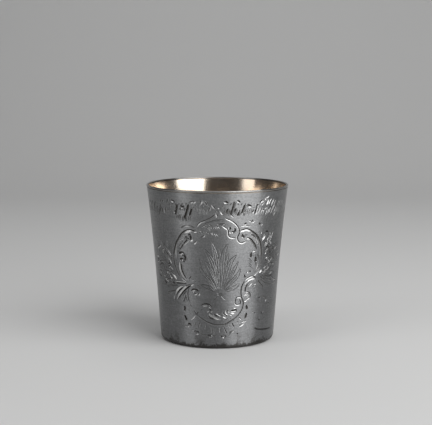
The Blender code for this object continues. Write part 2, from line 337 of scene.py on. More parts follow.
# The acanthus in the foot of the frame and the broken line of dashes round it
footOrnament = {
    "ribbon": [
        [(-4.3, 17.3), (-2.8, 16.5), (-1.0, 15.6), (0.8, 14.9), (2.2, 14.7)],
        [(2.8, 16.1), (3.9, 15.8), (5.1, 15.4)],
        [(6.8, 17.9), (8.0, 17.7), (9.4, 17.9)],
    ],
    "shine": [
        [(-7.5, 20.8), (-6.0, 21.4), (-4.8, 21.5)],
        [(-4.2, 21.1), (-3.2, 20.0)],
        [(-5.3, 18.0), (-4.3, 18.9)],
        [(-3.3, 18.1), (-2.5, 19.0)],
        [(4.4, 19.3), (4.3, 18.3), (4.9, 17.4), (5.8, 16.8)],
        [(6.1, 19.2), (6.0, 17.8)],
        [(8.3, 20.2), (9.8, 20.2)],
        [(-13.9, 13.9), (-12.5, 15.2), (-11.2, 16.3)],
    ],
    "scored": [
        [(-8.2, 21.3), (-6.9, 22.1), (-5.4, 22.4), (-3.9, 21.9), (-2.7, 20.7)],
        [(-4.3, 19.6), (-2.8, 19.4)],
        [(-3.8, 18.0), (-3.2, 17.4)],
        [(-2.2, 17.4), (-1.0, 16.8), (0.3, 16.5)],
        [(-4.9, 16.5), (-3.5, 15.5), (-1.6, 14.8)],
        [(2.8, 18.4), (3.2, 17.5), (4.2, 16.8), (5.1, 16.4)],
        [(5.3, 19.6), (5.2, 18.3)],
        [(7.5, 13.2), (8.2, 11.7), (9.0, 10.4)],
        [(3.5, 11.0), (4.1, 9.4), (4.9, 7.6)],
        [(-10.9, 16.7), (-9.6, 18.2)],
        [(1.3, 6.4), (2.8, 6.4)],
        [(3.4, 6.5), (4.8, 6.4)],
        [(-12.6, 8.2), (-10.8, 8.5), (-9.3, 7.8)],
        [(-5.3, 6.9), (-3.0, 6.9)],
    ],
    "line": [
        [(10.9, 15.7), (11.8, 15.0), (12.7, 14.2)],
        [(6.1, 6.9), (6.7, 8.0), (7.6, 8.6), (9.1, 8.6)],
    ],
    "leaf": [
        [(-16.0, 11.3), (-14.8, 11.2), (-13.7, 10.4)],
    ],
    "blade": [
        [(11.7, 10.6), (13.0, 11.4), (14.7, 12.3)],
        [(-12.2, 7.3), (-9.9, 7.2)],
        [(-4.4, 6.2), (-2.8, 6.0)],
        [(2.8, 5.9), (4.2, 5.7)],
    ],
    "thick": [
        [(6.8, 18.9), (8.0, 18.8), (9.2, 19.0), (10.3, 19.4)],
        [(-17.7, 20.8), (-17.1, 19.8), (-17.2, 18.7), (-18.0, 17.9)],
        [(-17.6, 16.2), (-16.8, 14.9), (-16.3, 13.3)],
        [(15.3, 21.3), (15.5, 20.1), (15.9, 18.9)],
        [(15.6, 17.5), (15.2, 16.0), (14.8, 14.5)],
        [(-16.0, 11.8), (-14.8, 11.7), (-13.7, 10.9)],
    ],
    "fine": [
        [(-13.8, 8.8), (-12.2, 8.9)],
        [(-8.8, 7.1), (-6.6, 6.8), (-5.0, 6.8)],
        [(12.7, 12.6), (14.2, 13.1), (15.8, 13.0)],
        [(-11.6, 9.5), (-10.4, 9.4)],
        [(-8.9, 13.2), (-9.4, 11.6), (-9.5, 9.9)],
        [(-14.0, 21.8), (-13.1, 20.6)],
        [(6.3, 17.3), (7.2, 16.7), (8.2, 16.8)],
        [(-17.8, 10.8), (-16.4, 10.2)],
        [(-3.2, 6.9), (-1.9, 6.4), (-0.6, 6.4)],
        [(-0.6, 17.8), (0.9, 17.0), (2.3, 16.2)],
    ],
    "worn": [
        [(-1.6, 11.2), (-1.6, 7.2)],
        [(-3.1, 11.4), (-3.2, 8.0)],
        [(1.2, 11.0), (1.4, 8.0)],
    ],
    "hair": [
        [(-11.0, 13.4), (-11.6, 11.0)],
        [(-6.2, 12.6), (-6.6, 9.6)],
        [(6.0, 12.2), (6.6, 10.6)],
        [(10.4, 13.6), (11.2, 12.4)],
        [(-14.6, 17.8), (-13.8, 16.8)],
        [(-15.2, 19.2), (-14.4, 18.2)],
        [(5.8, 15.0), (7.4, 15.4)],
        [(3.2, 14.6), (5.2, 14.9)],
    ],
    "dot": [
        [(-8.2, 19.6), (-7.6, 19.5)],
        [(11.8, 11.9), (12.4, 11.5)],
        [(10.3, 7.5), (11.2, 7.2)],
    ],
    "bead": [
        [(-15.5, 21.5), (-14.8, 21.2)],
        [(-16.0, 10.6), (-15.0, 10.4)],
    ],
}

# The leaf sprays that leave the frame at its sides
sprays = {
    "line": [
        # left, below: long leaves that spring from the frame
        [(-15.5, 28.2), (-16.9, 26.8), (-18.2, 25.0), (-19.2, 22.8)],
        [(-15.9, 25.9), (-16.9, 24.8), (-17.7, 23.2)],
        [(-20.8, 30.2), (-24.2, 29.8), (-29.0, 28.7)],
        [(-21.8, 27.6), (-25.0, 26.9), (-28.9, 25.8)],
        [(-26.4, 25.6), (-29.2, 24.9)],
        # right, below: leaves that droop from the frame
        [(22.4, 34.9), (24.2, 33.7), (25.8, 32.6), (26.8, 31.7)],
        [(21.2, 33.2), (22.6, 31.6), (24.2, 30.1), (26.0, 28.3)],
    ],
    "barb": [
        # left
        [(-36.8, 46.5), (-34.2, 47.6), (-31.4, 48.9)],
        [(-31.4, 46.4), (-30.0, 46.9), (-28.6, 47.9)],
        [(-30.8, 46.2), (-29.8, 45.2)],
        [(-38.8, 42.6), (-37.0, 42.6), (-35.2, 42.9)],
        [(-37.6, 39.7), (-36.3, 40.2), (-35.0, 41.0)],
        [(-37.0, 35.5), (-35.3, 35.0), (-33.5, 34.4)],
        [(-31.4, 34.0), (-29.8, 33.3)],
        [(-30.0, 32.5), (-28.8, 31.9)],
        [(-28.8, 31.9), (-27.3, 31.3)],
        [(-25.4, 33.9), (-24.1, 33.1)],
        [(-26.2, 34.8), (-25.1, 34.0)],
        [(-23.8, 35.9), (-22.7, 34.7), (-21.2, 33.1)],
        [(-28.2, 36.2), (-27.0, 35.4)],
        # right, from the curled leaf down
        [(24.4, 54.5), (23.5, 53.4), (22.6, 52.1)],
        [(26.3, 50.8), (25.3, 49.9), (24.0, 48.9)],
        [(27.5, 47.9), (26.4, 47.3), (25.1, 46.6)],
        [(26.0, 45.9), (25.0, 45.0)],
        [(27.2, 43.6), (25.4, 43.0)],
        [(31.9, 43.1), (30.3, 41.9), (28.6, 40.8), (26.7, 39.6)],
        [(29.5, 38.9), (27.6, 37.6), (25.8, 36.6), (23.9, 35.6)],
        [(23.8, 37.8), (22.9, 37.0), (22.0, 36.1)],
        [(28.9, 42.2), (28.2, 40.9)],
        [(34.6, 39.6), (33.3, 39.5), (31.9, 39.2)],
        [(32.8, 35.8), (31.2, 35.2), (29.5, 34.7)],
        [(35.0, 47.8), (33.8, 47.2), (32.7, 46.3)],
        [(40.6, 43.7), (38.6, 43.2), (36.8, 42.9)],
        [(37.8, 30.8), (36.4, 31.0), (34.8, 31.3)],
    ],
    "blade": [
        [(-33.4, 40.7), (-31.2, 40.9), (-28.8, 40.3)],
        [(-25.2, 42.6), (-24.6, 41.4), (-24.2, 40.2)],
        [(27.9, 55.8), (27.9, 54.2), (28.3, 52.6)],
        [(28.9, 51.4), (28.8, 49.6)],
        [(32.6, 31.4), (31.0, 31.6), (29.4, 31.8)],
    ],
    "turned": [
        [(-15.6, 31.8), (-18.8, 31.9), (-22.5, 31.7)],
    ],
    "stem": [
        [(-12.6, 31.4), (-14.4, 30.7), (-16.3, 29.4), (-18.3, 27.6), (-20.1, 25.6), (-21.9, 23.1)],
        [(-17.4, 30.1), (-19.4, 29.1), (-21.3, 27.5), (-22.9, 25.1)],
    ],
    "thick": [
        [(12.1, 60.8), (12.9, 61.0), (13.4, 61.7)],
        [(19.7, 61.2), (20.3, 60.5), (20.9, 60.0)],
        [(-16.4, 26.3), (-17.0, 25.0), (-17.6, 23.8), (-18.2, 22.6)],
        [(-22.8, 25.2), (-23.4, 24.0), (-24.0, 22.7)],
    ],
    "fine": [
        [(-36.0, 51.4), (-33.0, 51.8), (-30.0, 51.8)],
        [(-23.7, 24.8), (-23.5, 23.2), (-24.4, 21.4)],
        [(-25.2, 43.4), (-24.8, 41.8)],
        [(21.8, 56.6), (21.6, 55.4)],
        [(14.1, 62.2), (15.2, 62.3), (16.3, 61.6), (17.1, 61.9), (17.7, 62.6)],
        [(11.2, 60.8), (12.6, 60.7)],
        [(25.6, 35.3), (28.4, 33.8), (31.7, 32.8)],
        [(33.6, 51.0), (34.6, 49.6), (35.2, 48.6)],
        [(31.4, 51.0), (32.2, 49.6), (32.4, 48.6)],
    ],
    "pit": [
        [(-36.9, 41.2), (-35.3, 41.7)],
        [(-34.4, 40.3), (-33.2, 40.9)],
        [(-35.8, 33.9), (-34.1, 32.7)],
        [(-31.2, 31.1), (-28.8, 30.5)],
        [(-34.8, 36.4), (-33.6, 35.7)],
        [(27.1, 49.0), (28.2, 48.0)],
        [(30.6, 47.4), (31.8, 46.9)],
        [(30.1, 33.8), (31.4, 33.9)],
    ],
    "scored": [
        [(15.8, 62.9), (16.4, 62.4), (17.1, 62.8)],
        [(-27.9, 46.3), (-27.0, 45.3), (-25.9, 44.3)],
        [(-35.4, 38.4), (-33.4, 39.3), (-31.6, 39.8), (-30.8, 38.5)],
        [(-26.9, 39.0), (-25.3, 39.6)],
        [(-26.8, 40.3), (-25.1, 40.9)],
        [(-27.3, 34.6), (-26.1, 33.7)],
        [(-24.9, 31.4), (-22.3, 31.2)],
        [(24.2, 55.9), (25.2, 56.5), (26.2, 56.1), (26.9, 55.2), (27.1, 53.4)],
        [(22.9, 54.4), (23.8, 55.6)],
        [(24.3, 51.0), (25.4, 51.4), (26.6, 52.0)],
        [(26.8, 50.0), (28.1, 51.0)],
        [(25.4, 48.7), (26.8, 48.9), (28.2, 49.4)],
        [(25.9, 46.0), (26.8, 46.4), (27.8, 46.9)],
        [(28.5, 45.6), (29.9, 46.4)],
        [(25.7, 41.9), (26.8, 42.6), (28.1, 43.7)],
        [(23.6, 36.2), (24.9, 37.1), (26.3, 38.0)],
        [(29.4, 34.1), (31.0, 33.9), (32.8, 34.5)],
        [(35.2, 43.3), (36.4, 44.0)],
        [(30.0, 41.0), (31.2, 40.2), (32.6, 39.9)],
    ],
    "bead": [
        [(-28.1, 44.2), (-27.1, 44.6)],
        [(21.2, 60.1), (22.0, 60.0)],
    ],
}

# The long leaves behind those strokes: root, tip and bend
sideLeaves = [
    ((24.6, 49.6), (30.6, 55.2), 0.08),
    ((24.8, 45.4), (35.8, 48.6), 0.10),
    ((24.8, 41.2), (42.0, 44.0), 0.08),
    ((24.0, 37.6), (36.2, 39.8), 0.06),
    ((23.4, 35.2), (34.6, 35.6), -0.04),
    ((22.6, 33.6), (38.6, 30.6), -0.08),
    ((-23.6, 43.6), (-31.6, 49.8), -0.10),
    ((-23.2, 40.2), (-38.4, 46.8), -0.10),
    ((-22.6, 36.8), (-40.4, 42.2), -0.08),
    ((-21.6, 34.2), (-38.6, 35.4), -0.05),
    ((-20.8, 32.2), (-33.0, 30.6), 0.06),
]

# Where the strokes of one leaf stand along its length
leafShape = {
    "edge": (0.04, 0.25, 0.5, 0.78, 1.0),
    "rib": (0.06, 0.35, 0.68),
    "veins": (0.25, 0.42, 0.58),
    "veinRise": 0.12,
    "veinReach": 0.78,       # share of the way from the rib to the edge
    "slimBelly": 0.12,       # of the leaves at the sides
}

# The ragged border under the lip, as it runs across the front
border = {
    "thick": [
        [(-18.2, 70.2), (-18.5, 68.9), (-18.8, 67.6), (-19.2, 66.2), (-19.6, 65.0)],
        [(-17.1, 69.9), (-16.4, 69.2), (-15.8, 68.7), (-15.3, 69.1), (-14.8, 69.7)],
        [(-12.6, 70.6), (-13.0, 68.8), (-13.6, 67.0), (-14.2, 65.2), (-15.0, 63.0)],
        [(-11.0, 68.6), (-11.6, 66.8), (-12.4, 64.8)],
        [(7.5, 72.2), (7.2, 70.4), (6.8, 68.6), (6.2, 66.8), (5.7, 65.4)],
        [(12.4, 70.6), (12.0, 69.2), (11.5, 67.8), (10.9, 66.0)],
        [(13.2, 70.5), (13.9, 69.8), (14.7, 69.4), (15.6, 69.4)],
        [(19.2, 70.0), (18.5, 69.6), (18.3, 68.4), (17.9, 66.8), (17.4, 65.0)],
        [(8.3, 72.5), (9.1, 71.9), (9.9, 71.2)],
        [(9.9, 67.2), (9.5, 66.1), (8.9, 64.8)],
        [(8.3, 68.9), (8.0, 67.9), (7.6, 66.9)],
        [(16.7, 67.6), (16.2, 66.7), (15.7, 65.7)],
        [(-20.5, 66.6), (-19.5, 66.2)],
        [(2.6, 71.7), (4.8, 71.5)],
        [(4.8, 68.8), (4.4, 67.5), (4.1, 66.0)],
        [(-21.9, 71.8), (-20.8, 71.4), (-19.5, 70.8)],
        [(19.4, 71.2), (20.3, 71.3), (21.1, 72.0)],
    ],
    "blade": [
        [(-2.6, 70.6), (-1.7, 69.3), (-0.7, 68.1)],
        [(-2.7, 69.4), (-3.3, 68.2), (-4.0, 66.9)],
        [(1.1, 67.6), (1.7, 66.7), (2.4, 65.6)],
        [(-0.9, 66.4), (-0.4, 65.5), (-0.2, 64.4)],
        [(-3.0, 64.2), (-2.0, 64.8), (-1.2, 65.5)],
        [(-6.5, 72.6), (-6.9, 71.4), (-7.4, 70.3)],
        [(-5.9, 72.2), (-5.2, 71.1), (-4.4, 70.1)],
        [(-11.1, 70.9), (-10.0, 71.4), (-9.2, 72.1)],
        [(-28.8, 69.6), (-29.2, 67.6), (-29.9, 65.6), (-30.8, 63.2)],
        [(-27.0, 68.0), (-27.5, 66.4), (-28.3, 64.6)],
        [(-24.8, 68.4), (-25.2, 66.9), (-25.5, 65.3)],
        [(-23.3, 72.8), (-23.6, 71.4), (-24.2, 69.9)],
        [(-28.0, 71.6), (-28.7, 70.1)],
        [(-26.5, 71.6), (-27.2, 70.1)],
        [(-33.0, 70.2), (-33.9, 68.6), (-34.8, 66.8)],
        [(-36.4, 70.4), (-37.2, 68.9), (-38.2, 67.2)],
        [(-31.2, 68.2), (-31.9, 66.6)],
        [(-39.4, 70.4), (-40.6, 68.4)],
        [(38.8, 68.4), (38.0, 66.8)],
        [(41.2, 67.6), (40.2, 65.8)],
    ],
    "barb": [
        [(24.6, 72.1), (24.2, 70.8), (23.6, 69.2)],
        [(29.0, 69.6), (28.3, 68.0), (27.3, 66.3), (26.5, 64.8)],
        [(30.2, 65.2), (28.7, 63.4)],
    ],
    "ribbon": [
        [(20.9, 71.0), (22.1, 72.0), (23.4, 73.0), (24.8, 73.6)],
    ],
    "scored": [
        [(25.5, 72.0), (25.1, 70.5)],
        [(24.4, 68.7), (23.6, 67.2)],
        [(23.5, 72.8), (22.9, 71.4)],
        [(28.9, 66.6), (28.3, 65.6)],
        [(28.8, 65.3), (27.8, 63.9)],
        [(27.3, 67.4), (26.2, 66.0)],
        [(22.6, 72.0), (21.6, 71.2)],
    ],
    "leaf": [
        [(-12.6, 71.5), (-11.4, 71.4), (-10.1, 72.1)],
        [(-26.2, 67.8), (-26.1, 66.2), (-25.8, 64.7)],
        [(-28.2, 68.4), (-28.8, 66.8), (-29.6, 65.0)],
        [(19.8, 69.0), (19.3, 67.2), (18.8, 65.6)],
    ],
    "fine": [
        [(-22.8, 71.5), (-23.3, 70.1)],
        [(-14.5, 68.3), (-15.1, 67.2)],
        [(-17.3, 68.0), (-16.7, 66.9)],
        [(-18.4, 65.9), (-17.8, 64.9)],
        [(-17.1, 65.4), (-17.0, 64.3)],
        [(-15.6, 65.3), (-15.3, 64.3)],
        [(-10.0, 69.3), (-10.9, 68.6)],
        [(2.4, 70.2), (2.0, 68.7)],
        [(3.4, 69.6), (3.0, 68.2)],
        [(0.2, 69.0), (1.4, 68.5)],
        [(-0.6, 67.4), (0.6, 67.3)],
        [(-3.8, 70.0), (-3.1, 69.5)],
        [(16.2, 68.9), (17.0, 68.2)],
        [(14.4, 67.2), (14.2, 66.0)],
        [(21.3, 70.4), (20.6, 69.3)],
        [(23.4, 68.6), (22.9, 67.2)],
        [(20.3, 66.4), (21.5, 67.3), (22.9, 66.9)],
        [(-22.6, 69.4), (-21.6, 69.6)],
        [(-22.4, 68.6), (-21.2, 68.7)],
        [(6.1, 66.2), (6.5, 65.0), (7.4, 64.5)],
        [(-5.0, 72.2), (-4.2, 71.2)],
        [(32.9, 71.4), (34.0, 71.2)],
        [(37.0, 69.4), (38.6, 69.8)],
    ],
}

# Small knocks and bruises low on the right of the front
bruises = {
    "scored": [
        [(22.7, 24.1), (24.5, 23.8)],
        [(25.0, 15.9), (26.2, 16.1), (27.3, 16.6)],
        [(20.4, 17.0), (21.5, 16.6)],
        [(23.3, 13.2), (24.9, 12.6)],
        [(21.0, 9.4), (22.4, 8.5), (24.2, 8.0), (27.0, 7.6), (31.0, 7.1), (36.0, 6.9)],
    ],
    "fine": [
        [(21.9, 22.6), (23.7, 22.2)],
        [(25.3, 24.7), (26.5, 24.1), (27.3, 23.0)],
        [(20.1, 24.9), (21.4, 24.7)],
        [(18.8, 17.6), (19.8, 17.0)],
        [(33.0, 22.6), (34.6, 21.6)],
    ],
    "blade": [
        [(27.8, 24.0), (28.5, 22.4), (28.4, 20.9)],
        [(30.8, 20.0), (32.4, 19.4)],
    ],
}

# A worn sheaf of long leaves in the middle of the frame: the half width of each, its middle line
sheaf = [
    (1.1, [(0.6, 27.5), (0.3, 33.0), (-1.2, 39.5), (-3.6, 45.5), (-6.6, 49.6)]),
    (1.0, [(1.0, 27.5), (0.9, 34.0), (0.0, 41.0), (-1.0, 47.5), (-2.6, 53.0)]),
    (1.1, [(1.5, 27.5), (1.9, 34.0), (2.2, 41.0), (2.8, 47.0), (5.0, 52.0)]),
    (1.1, [(1.9, 27.5), (3.2, 33.0), (4.8, 38.5), (6.4, 43.0), (9.2, 46.4)]),
    (0.9, [(0.4, 27.5), (-1.8, 31.5), (-4.0, 34.6), (-6.6, 37.0), (-8.6, 40.4)]),
    (0.9, [(2.2, 27.5), (4.8, 31.0), (7.4, 33.6), (9.8, 36.2), (11.2, 39.8)]),
    (0.8, [(0.2, 27.2), (-2.6, 29.4), (-5.4, 30.8), (-8.4, 31.6)]),
    (0.8, [(2.4, 27.2), (5.2, 29.0), (8.4, 30.2), (11.2, 32.2)]),
    (0.7, [(0.9, 30.0), (-0.8, 34.6), (-3.2, 39.6), (-5.6, 43.2)]),
    (0.7, [(1.8, 30.0), (3.6, 36.4), (4.0, 42.6), (5.4, 47.4)]),
    (0.8, [(1.2, 30.5), (0.7, 36.0), (0.8, 42.5), (1.2, 49.5)]),
    (0.7, [(0.6, 29.0), (-2.6, 33.0), (-5.6, 38.0), (-8.4, 44.6)]),
    (0.7, [(2.0, 29.0), (5.4, 34.4), (8.0, 39.2), (10.2, 43.2)]),
]
sheafTie = [
    [(-0.2, 27.9), (1.2, 27.4), (2.8, 27.9)],
    [(-0.2, 27.1), (1.2, 26.6), (2.8, 27.1)],
    [(0.4, 26.6), (-0.6, 25.0), (-2.2, 24.2)],
    [(2.0, 26.6), (3.0, 25.2), (4.6, 24.4)],
]
sheafShape = {"step": 2.2, "fullestPoint": 1.3, "fullness": 0.8}

# Runs of parallel flicks: they start along a line and each goes the same way
flickRuns = [
    # under the border
    {"kind": "nick", "from": (-18.9, 68.6), "until": (-11.4, 69.4), "count": 9, "to": (-0.6, -2.2)},
    {"kind": "nick", "from": (-18.6, 65.4), "until": (-11.6, 65.2), "count": 10, "to": (-0.7, -3.4)},
    {"kind": "hair", "from": (-10.0, 69.6), "until": (-4.4, 68.4), "count": 8, "to": (-0.5, -3.4)},
    {"kind": "hair", "from": (-1.6, 67.4), "until": (5.4, 68.2), "count": 8, "to": (-0.5, -2.4)},
    {"kind": "nick", "from": (3.4, 68.4), "until": (12.4, 68.0), "count": 9, "to": (-1.0, -3.4)},
    {"kind": "nick", "from": (12.8, 68.4), "until": (22.2, 68.2), "count": 10, "to": (-0.9, -3.8)},
    {"kind": "tick", "from": (26.4, 72.2), "until": (29.8, 71.4), "count": 3, "to": (-1.7, -3.4)},
    {"kind": "tick", "from": (30.6, 68.2), "until": (34.0, 67.4), "count": 4, "to": (-1.7, -3.7)},
    {"kind": "nick", "from": (24.4, 67.4), "until": (26.6, 68.2), "count": 3, "to": (-1.2, -3.0)},
    {"kind": "tick", "from": (32.6, 71.0), "until": (37.8, 70.2), "count": 4, "to": (-1.6, -3.2)},
    {"kind": "hair", "from": (34.4, 67.2), "until": (41.0, 66.6), "count": 8, "to": (-1.3, -3.2)},
    {"kind": "hair", "from": (-40.6, 68.0), "until": (-21.6, 67.6), "count": 22, "to": (-1.0, -4.0)},
    # over the border, between its tips
    {"kind": "nick", "from": (-22.0, 70.6), "until": (-13.4, 71.0), "count": 6, "to": (-0.7, -1.6)},
    {"kind": "hair", "from": (-12.0, 70.6), "until": (-4.0, 71.0), "count": 6, "to": (-0.7, -1.6)},
    {"kind": "nick", "from": (3.0, 71.4), "until": (22.0, 71.0), "count": 13, "to": (-0.7, -1.6)},
    # feathering of the side sprays
    {"kind": "hair", "from": (-27.0, 51.6), "until": (-26.6, 36.4), "count": 14, "to": (2.5, -2.0)},
    {"kind": "nick", "from": (-30.2, 47.4), "until": (-30.4, 36.0), "count": 8, "to": (2.7, -1.9)},
    {"kind": "hair", "from": (-34.4, 47.0), "until": (-33.8, 33.6), "count": 11, "to": (3.0, -1.7)},
    {"kind": "hair", "from": (-38.4, 44.0), "until": (-37.6, 35.4), "count": 7, "to": (3.2, -1.3)},
    {"kind": "hair", "from": (-17.4, 27.6), "until": (-19.4, 26.4), "count": 4, "to": (-2.6, -3.2)},
    {"kind": "nick", "from": (26.6, 48.5), "until": (28.4, 43.0), "count": 10, "to": (3.4, -2.0)},
    {"kind": "nick", "from": (29.6, 49.0), "until": (31.4, 42.8), "count": 7, "to": (3.0, -1.8)},
    {"kind": "hair", "from": (27.0, 39.4), "until": (24.6, 34.8), "count": 7, "to": (3.6, -1.8)},
    {"kind": "hair", "from": (33.4, 50.0), "until": (37.8, 34.8), "count": 12, "to": (2.8, -1.2)},
    {"kind": "hair", "from": (22.2, 33.6), "until": (28.4, 35.4), "count": 6, "to": (2.6, -2.4)},
    # shading inside the scrolls
    {"kind": "hair", "from": (-19.2, 53.0), "until": (-15.6, 56.4), "count": 6, "to": (1.2, -1.2)},
    {"kind": "hair", "from": (16.2, 56.4), "until": (21.0, 50.8), "count": 7, "to": (-1.0, -0.9)},
    {"kind": "hair", "from": (15.2, 44.4), "until": (15.6, 41.2), "count": 4, "to": (2.6, -2.2)},
    {"kind": "nick", "from": (-5.6, 60.2), "until": (0.6, 60.2), "count": 8, "to": (0.9, -1.3)},
    {"kind": "hair", "from": (-6.4, 58.0), "until": (-0.4, 57.0), "count": 8, "to": (0.8, -1.6)},
    {"kind": "hair", "from": (14.2, 30.6), "until": (16.2, 33.0), "count": 5, "to": (0.9, -1.0)},
    {"kind": "hair", "from": (-20.6, 42.6), "until": (-18.6, 35.2), "count": 8, "to": (-1.0, -0.5)},
]
flickWander = {"seed": 8, "start": 0.22, "length": 0.25, "bow": 0.16}

# How the border runs on round the back, where the photograph doesn't reach: the stretch read on
# the front is cut again on either side, and stops at the seam
borderRound = {
    "from": -21.0,
    "until": 29.0,
    "shifts": (66.0, -73.0),
    "clearOfSeam": 1.2,
    "runs": 6,               # so many of the runs of flicks go with it
    "wander": 0.3,
    "seed": 11,
}

# A leafy branch on either side of the back, in the manner of the front. The stem
# starts low and bends towards the front; leaves stand on it in pairs and shrink towards the tip
backBranch = {
    "stem": [(72.0, 17.5), (75.5, 24.0), (76.0, 32.0), (73.5, 40.5), (68.0, 48.5), (60.5, 54.5)],
    "step": 0.5,             # spacing of points along the stem, before it is thinned
    "keepEvery": 5,
    "pairs": 6,
    "firstLeaf": 11.5,
    "lastLeaf": 7.5,
    "lean": 42.0,
    "leanWander": 5,
    "sizes": (0.9, 1.05),
    "belly": 0.17,
    "bend": 0.12,
    "tipBend": 0.1,
    "berries": 3,
    "berryGap": 1.3,
    "berryAhead": 3,
    "berryHalf": 0.25,
    "seed": 5,
}


def borderOnTheBack():
    chance = random.Random(borderRound["seed"])
    cuts = {}
    seamAt = math.pi * beaker["wrapRadius"] - borderRound["clearOfSeam"]
    runs = {"hair": [points for kind, points in flicks(flickRuns[:borderRound["runs"]])]}
    for motif in (border, runs):
        for kind, strokes in motif.items():
            for points in strokes:
                arcs = [arc for arc, z in points]
                if min(arcs) < borderRound["from"] or max(arcs) > borderRound["until"]:
                    continue
                for shift in borderRound["shifts"]:
                    wander = chance.uniform(-1, 1) * borderRound["wander"]
                    placed = [(arc + shift + wander, z + wander) for arc, z in points]
                    if max(abs(arc) for arc, z in placed) < seamAt:
                        cuts.setdefault(kind, []).append(placed)
    return cuts


def flicks(runs):
    chance = random.Random(flickWander["seed"])
    strokes = []
    for run in runs:
        for k in range(run["count"]):
            t = k / (run["count"] - 1)
            u = run["from"][0] + (run["until"][0] - run["from"][0]) * t
            z = run["from"][1] + (run["until"][1] - run["from"][1]) * t
            u += chance.uniform(-1, 1) * flickWander["start"]
            z += chance.uniform(-1, 1) * flickWander["start"]
            scale = 1 - chance.random() * flickWander["length"]
            goU, goZ = run["to"][0] * scale, run["to"][1] * scale
            bow = chance.uniform(0.3, 1.0) * flickWander["bow"]
            middle = (u + 0.5 * goU + bow * goZ * 0.5, z + 0.5 * goZ - bow * goU * 0.5)
            strokes.append((run["kind"], [(u, z), middle, (u + goU, z + goZ)]))
    return strokes


def leavesOfSheaf():
    # Both edges and a broken midrib of each leaf
    strokes = list(sheafTie)
    for half, middle in sheaf:
        line, at = smoothLine(middle, sheafShape["step"])
        along = np.gradient(line, axis=0)
        along = along / np.linalg.norm(along, axis=1, keepdims=True)
        left = np.stack([-along[:, 1], along[:, 0]], axis=1)
        share = (at / at[-1]) ** sheafShape["fullestPoint"]
        belly = half * np.sin(math.pi * share) ** sheafShape["fullness"]
        belly[-1] = 0
        for side in (1, -1):
            strokes.append((line + side * left * belly[:, None])[1:])
        strokes.append(line[len(line) // 3:-2])
    return strokes


def leafStrokes(root, angle, length, belly, bend, kinds=("line", "brace", "fine")):
    # Two edges that meet in a point, a midrib and a few veins
    along = np.array([math.cos(angle), math.sin(angle)])
    across = np.array([-along[1], along[0]])

    def at(t, side):
        swelling = side * belly * length * math.sin(math.pi * t ** 0.8)
        return tuple(root + along * length * t + across * (swelling + bend * length * t * t))

    upper = [at(t, 1) for t in leafShape["edge"]]
    lower = [at(t, -1) for t in leafShape["edge"]]
    made = [(kinds[0], upper), (kinds[1], lower), (kinds[2], [at(t, 0) for t in leafShape["rib"]])]
    for t in leafShape["veins"]:
        for side in (1, -1):
            tip = at(t + leafShape["veinRise"], side * leafShape["veinReach"])
            made.append(("hair", [at(t, 0.0), tip]))
    return made


def fansAtTheSides():
    # The leaves of the two side sprays, as seen once the beaker is turned
    cuts = {}
    for root, tip, bend in sideLeaves:
        across, up = tip[0] - root[0], tip[1] - root[1]
        length = math.hypot(across, up)
        angle = math.atan2(up, across)
        leaf = (np.array(root), angle, length, leafShape["slimBelly"], bend)
        for kind, points in leafStrokes(*leaf, kinds=("fine", "fine", "hair")):
            cuts.setdefault(kind, []).append(points)
    return cuts


def branchesOnTheBack():
    chance = random.Random(backBranch["seed"])
    cuts = {}
    first, last = backBranch["firstLeaf"], backBranch["lastLeaf"]
    belly, half = backBranch["belly"], backBranch["berryHalf"]
    for mirror in (1, -1):
        given = [(mirror * arc, z) for arc, z in backBranch["stem"]]
        stem = smoothLine(given, backBranch["step"])[0]
        cuts.setdefault("line", []).append([tuple(q) for q in stem[::backBranch["keepEvery"]]])
        leaves = []
        for k in range(backBranch["pairs"]):
            t = (k + 0.5) / backBranch["pairs"]
            index = int(t * (len(stem) - 2))
            going = stem[index + 1] - stem[index]
            heading = math.atan2(going[1], going[0])
            across = np.array([going[1], -going[0]]) / backBranch["step"]
            for side in (1, -1):
                lean = backBranch["lean"] + backBranch["leanWander"] * chance.uniform(-1, 1)
                size = (first + (last - first) * t) * chance.uniform(*backBranch["sizes"])
                leaves.append((stem[index], heading + side * math.radians(lean), size, belly,
                               -side * backBranch["bend"]))
            for m in range(backBranch["berries"]):
                away = (m - 1) * backBranch["berryGap"]
                berry = stem[index] + across * away + going * backBranch["berryAhead"]
                cuts.setdefault("dot", []).append([tuple(berry - half), tuple(berry + half)])
        leaves.append((stem[-1], heading, last, belly, backBranch["tipBend"]))
        for leaf in leaves:
            for kind, points in leafStrokes(*leaf):
                cuts.setdefault(kind, []).append(points)
    return cuts


def smoothLine(points, step):
    # A Catmull-Rom line through the given points, with even spacing
    given = np.array(points, float)
    if len(given) == 2:
        dense = given[0] + np.linspace(0, 1, 24)[:, None] * (given[1] - given[0])
    else:
        padded = np.vstack([2 * given[0] - given[1], given, 2 * given[-1] - given[-2]])
        dense = []
        for k in range(1, len(padded) - 2):
            a, b, c, d = padded[k - 1:k + 3]
            t = np.linspace(0, 1, 16, endpoint=False)[:, None]
            dense.append(0.5 * (2 * b + (c - a) * t + (2 * a - 5 * b + 4 * c - d) * t ** 2
                                + (3 * b - a - 3 * c + d) * t ** 3))
        dense = np.vstack(dense + [given[-1:]])
    length = np.concatenate([[0], np.cumsum(np.linalg.norm(np.diff(dense, axis=0), axis=1))])
    count = max(3, int(math.ceil(length[-1] / step)) + 1)
    at = np.linspace(0, length[-1], count)
    line = np.stack([np.interp(at, length, dense[:, 0]), np.interp(at, length, dense[:, 1])], axis=1)
    return line, at


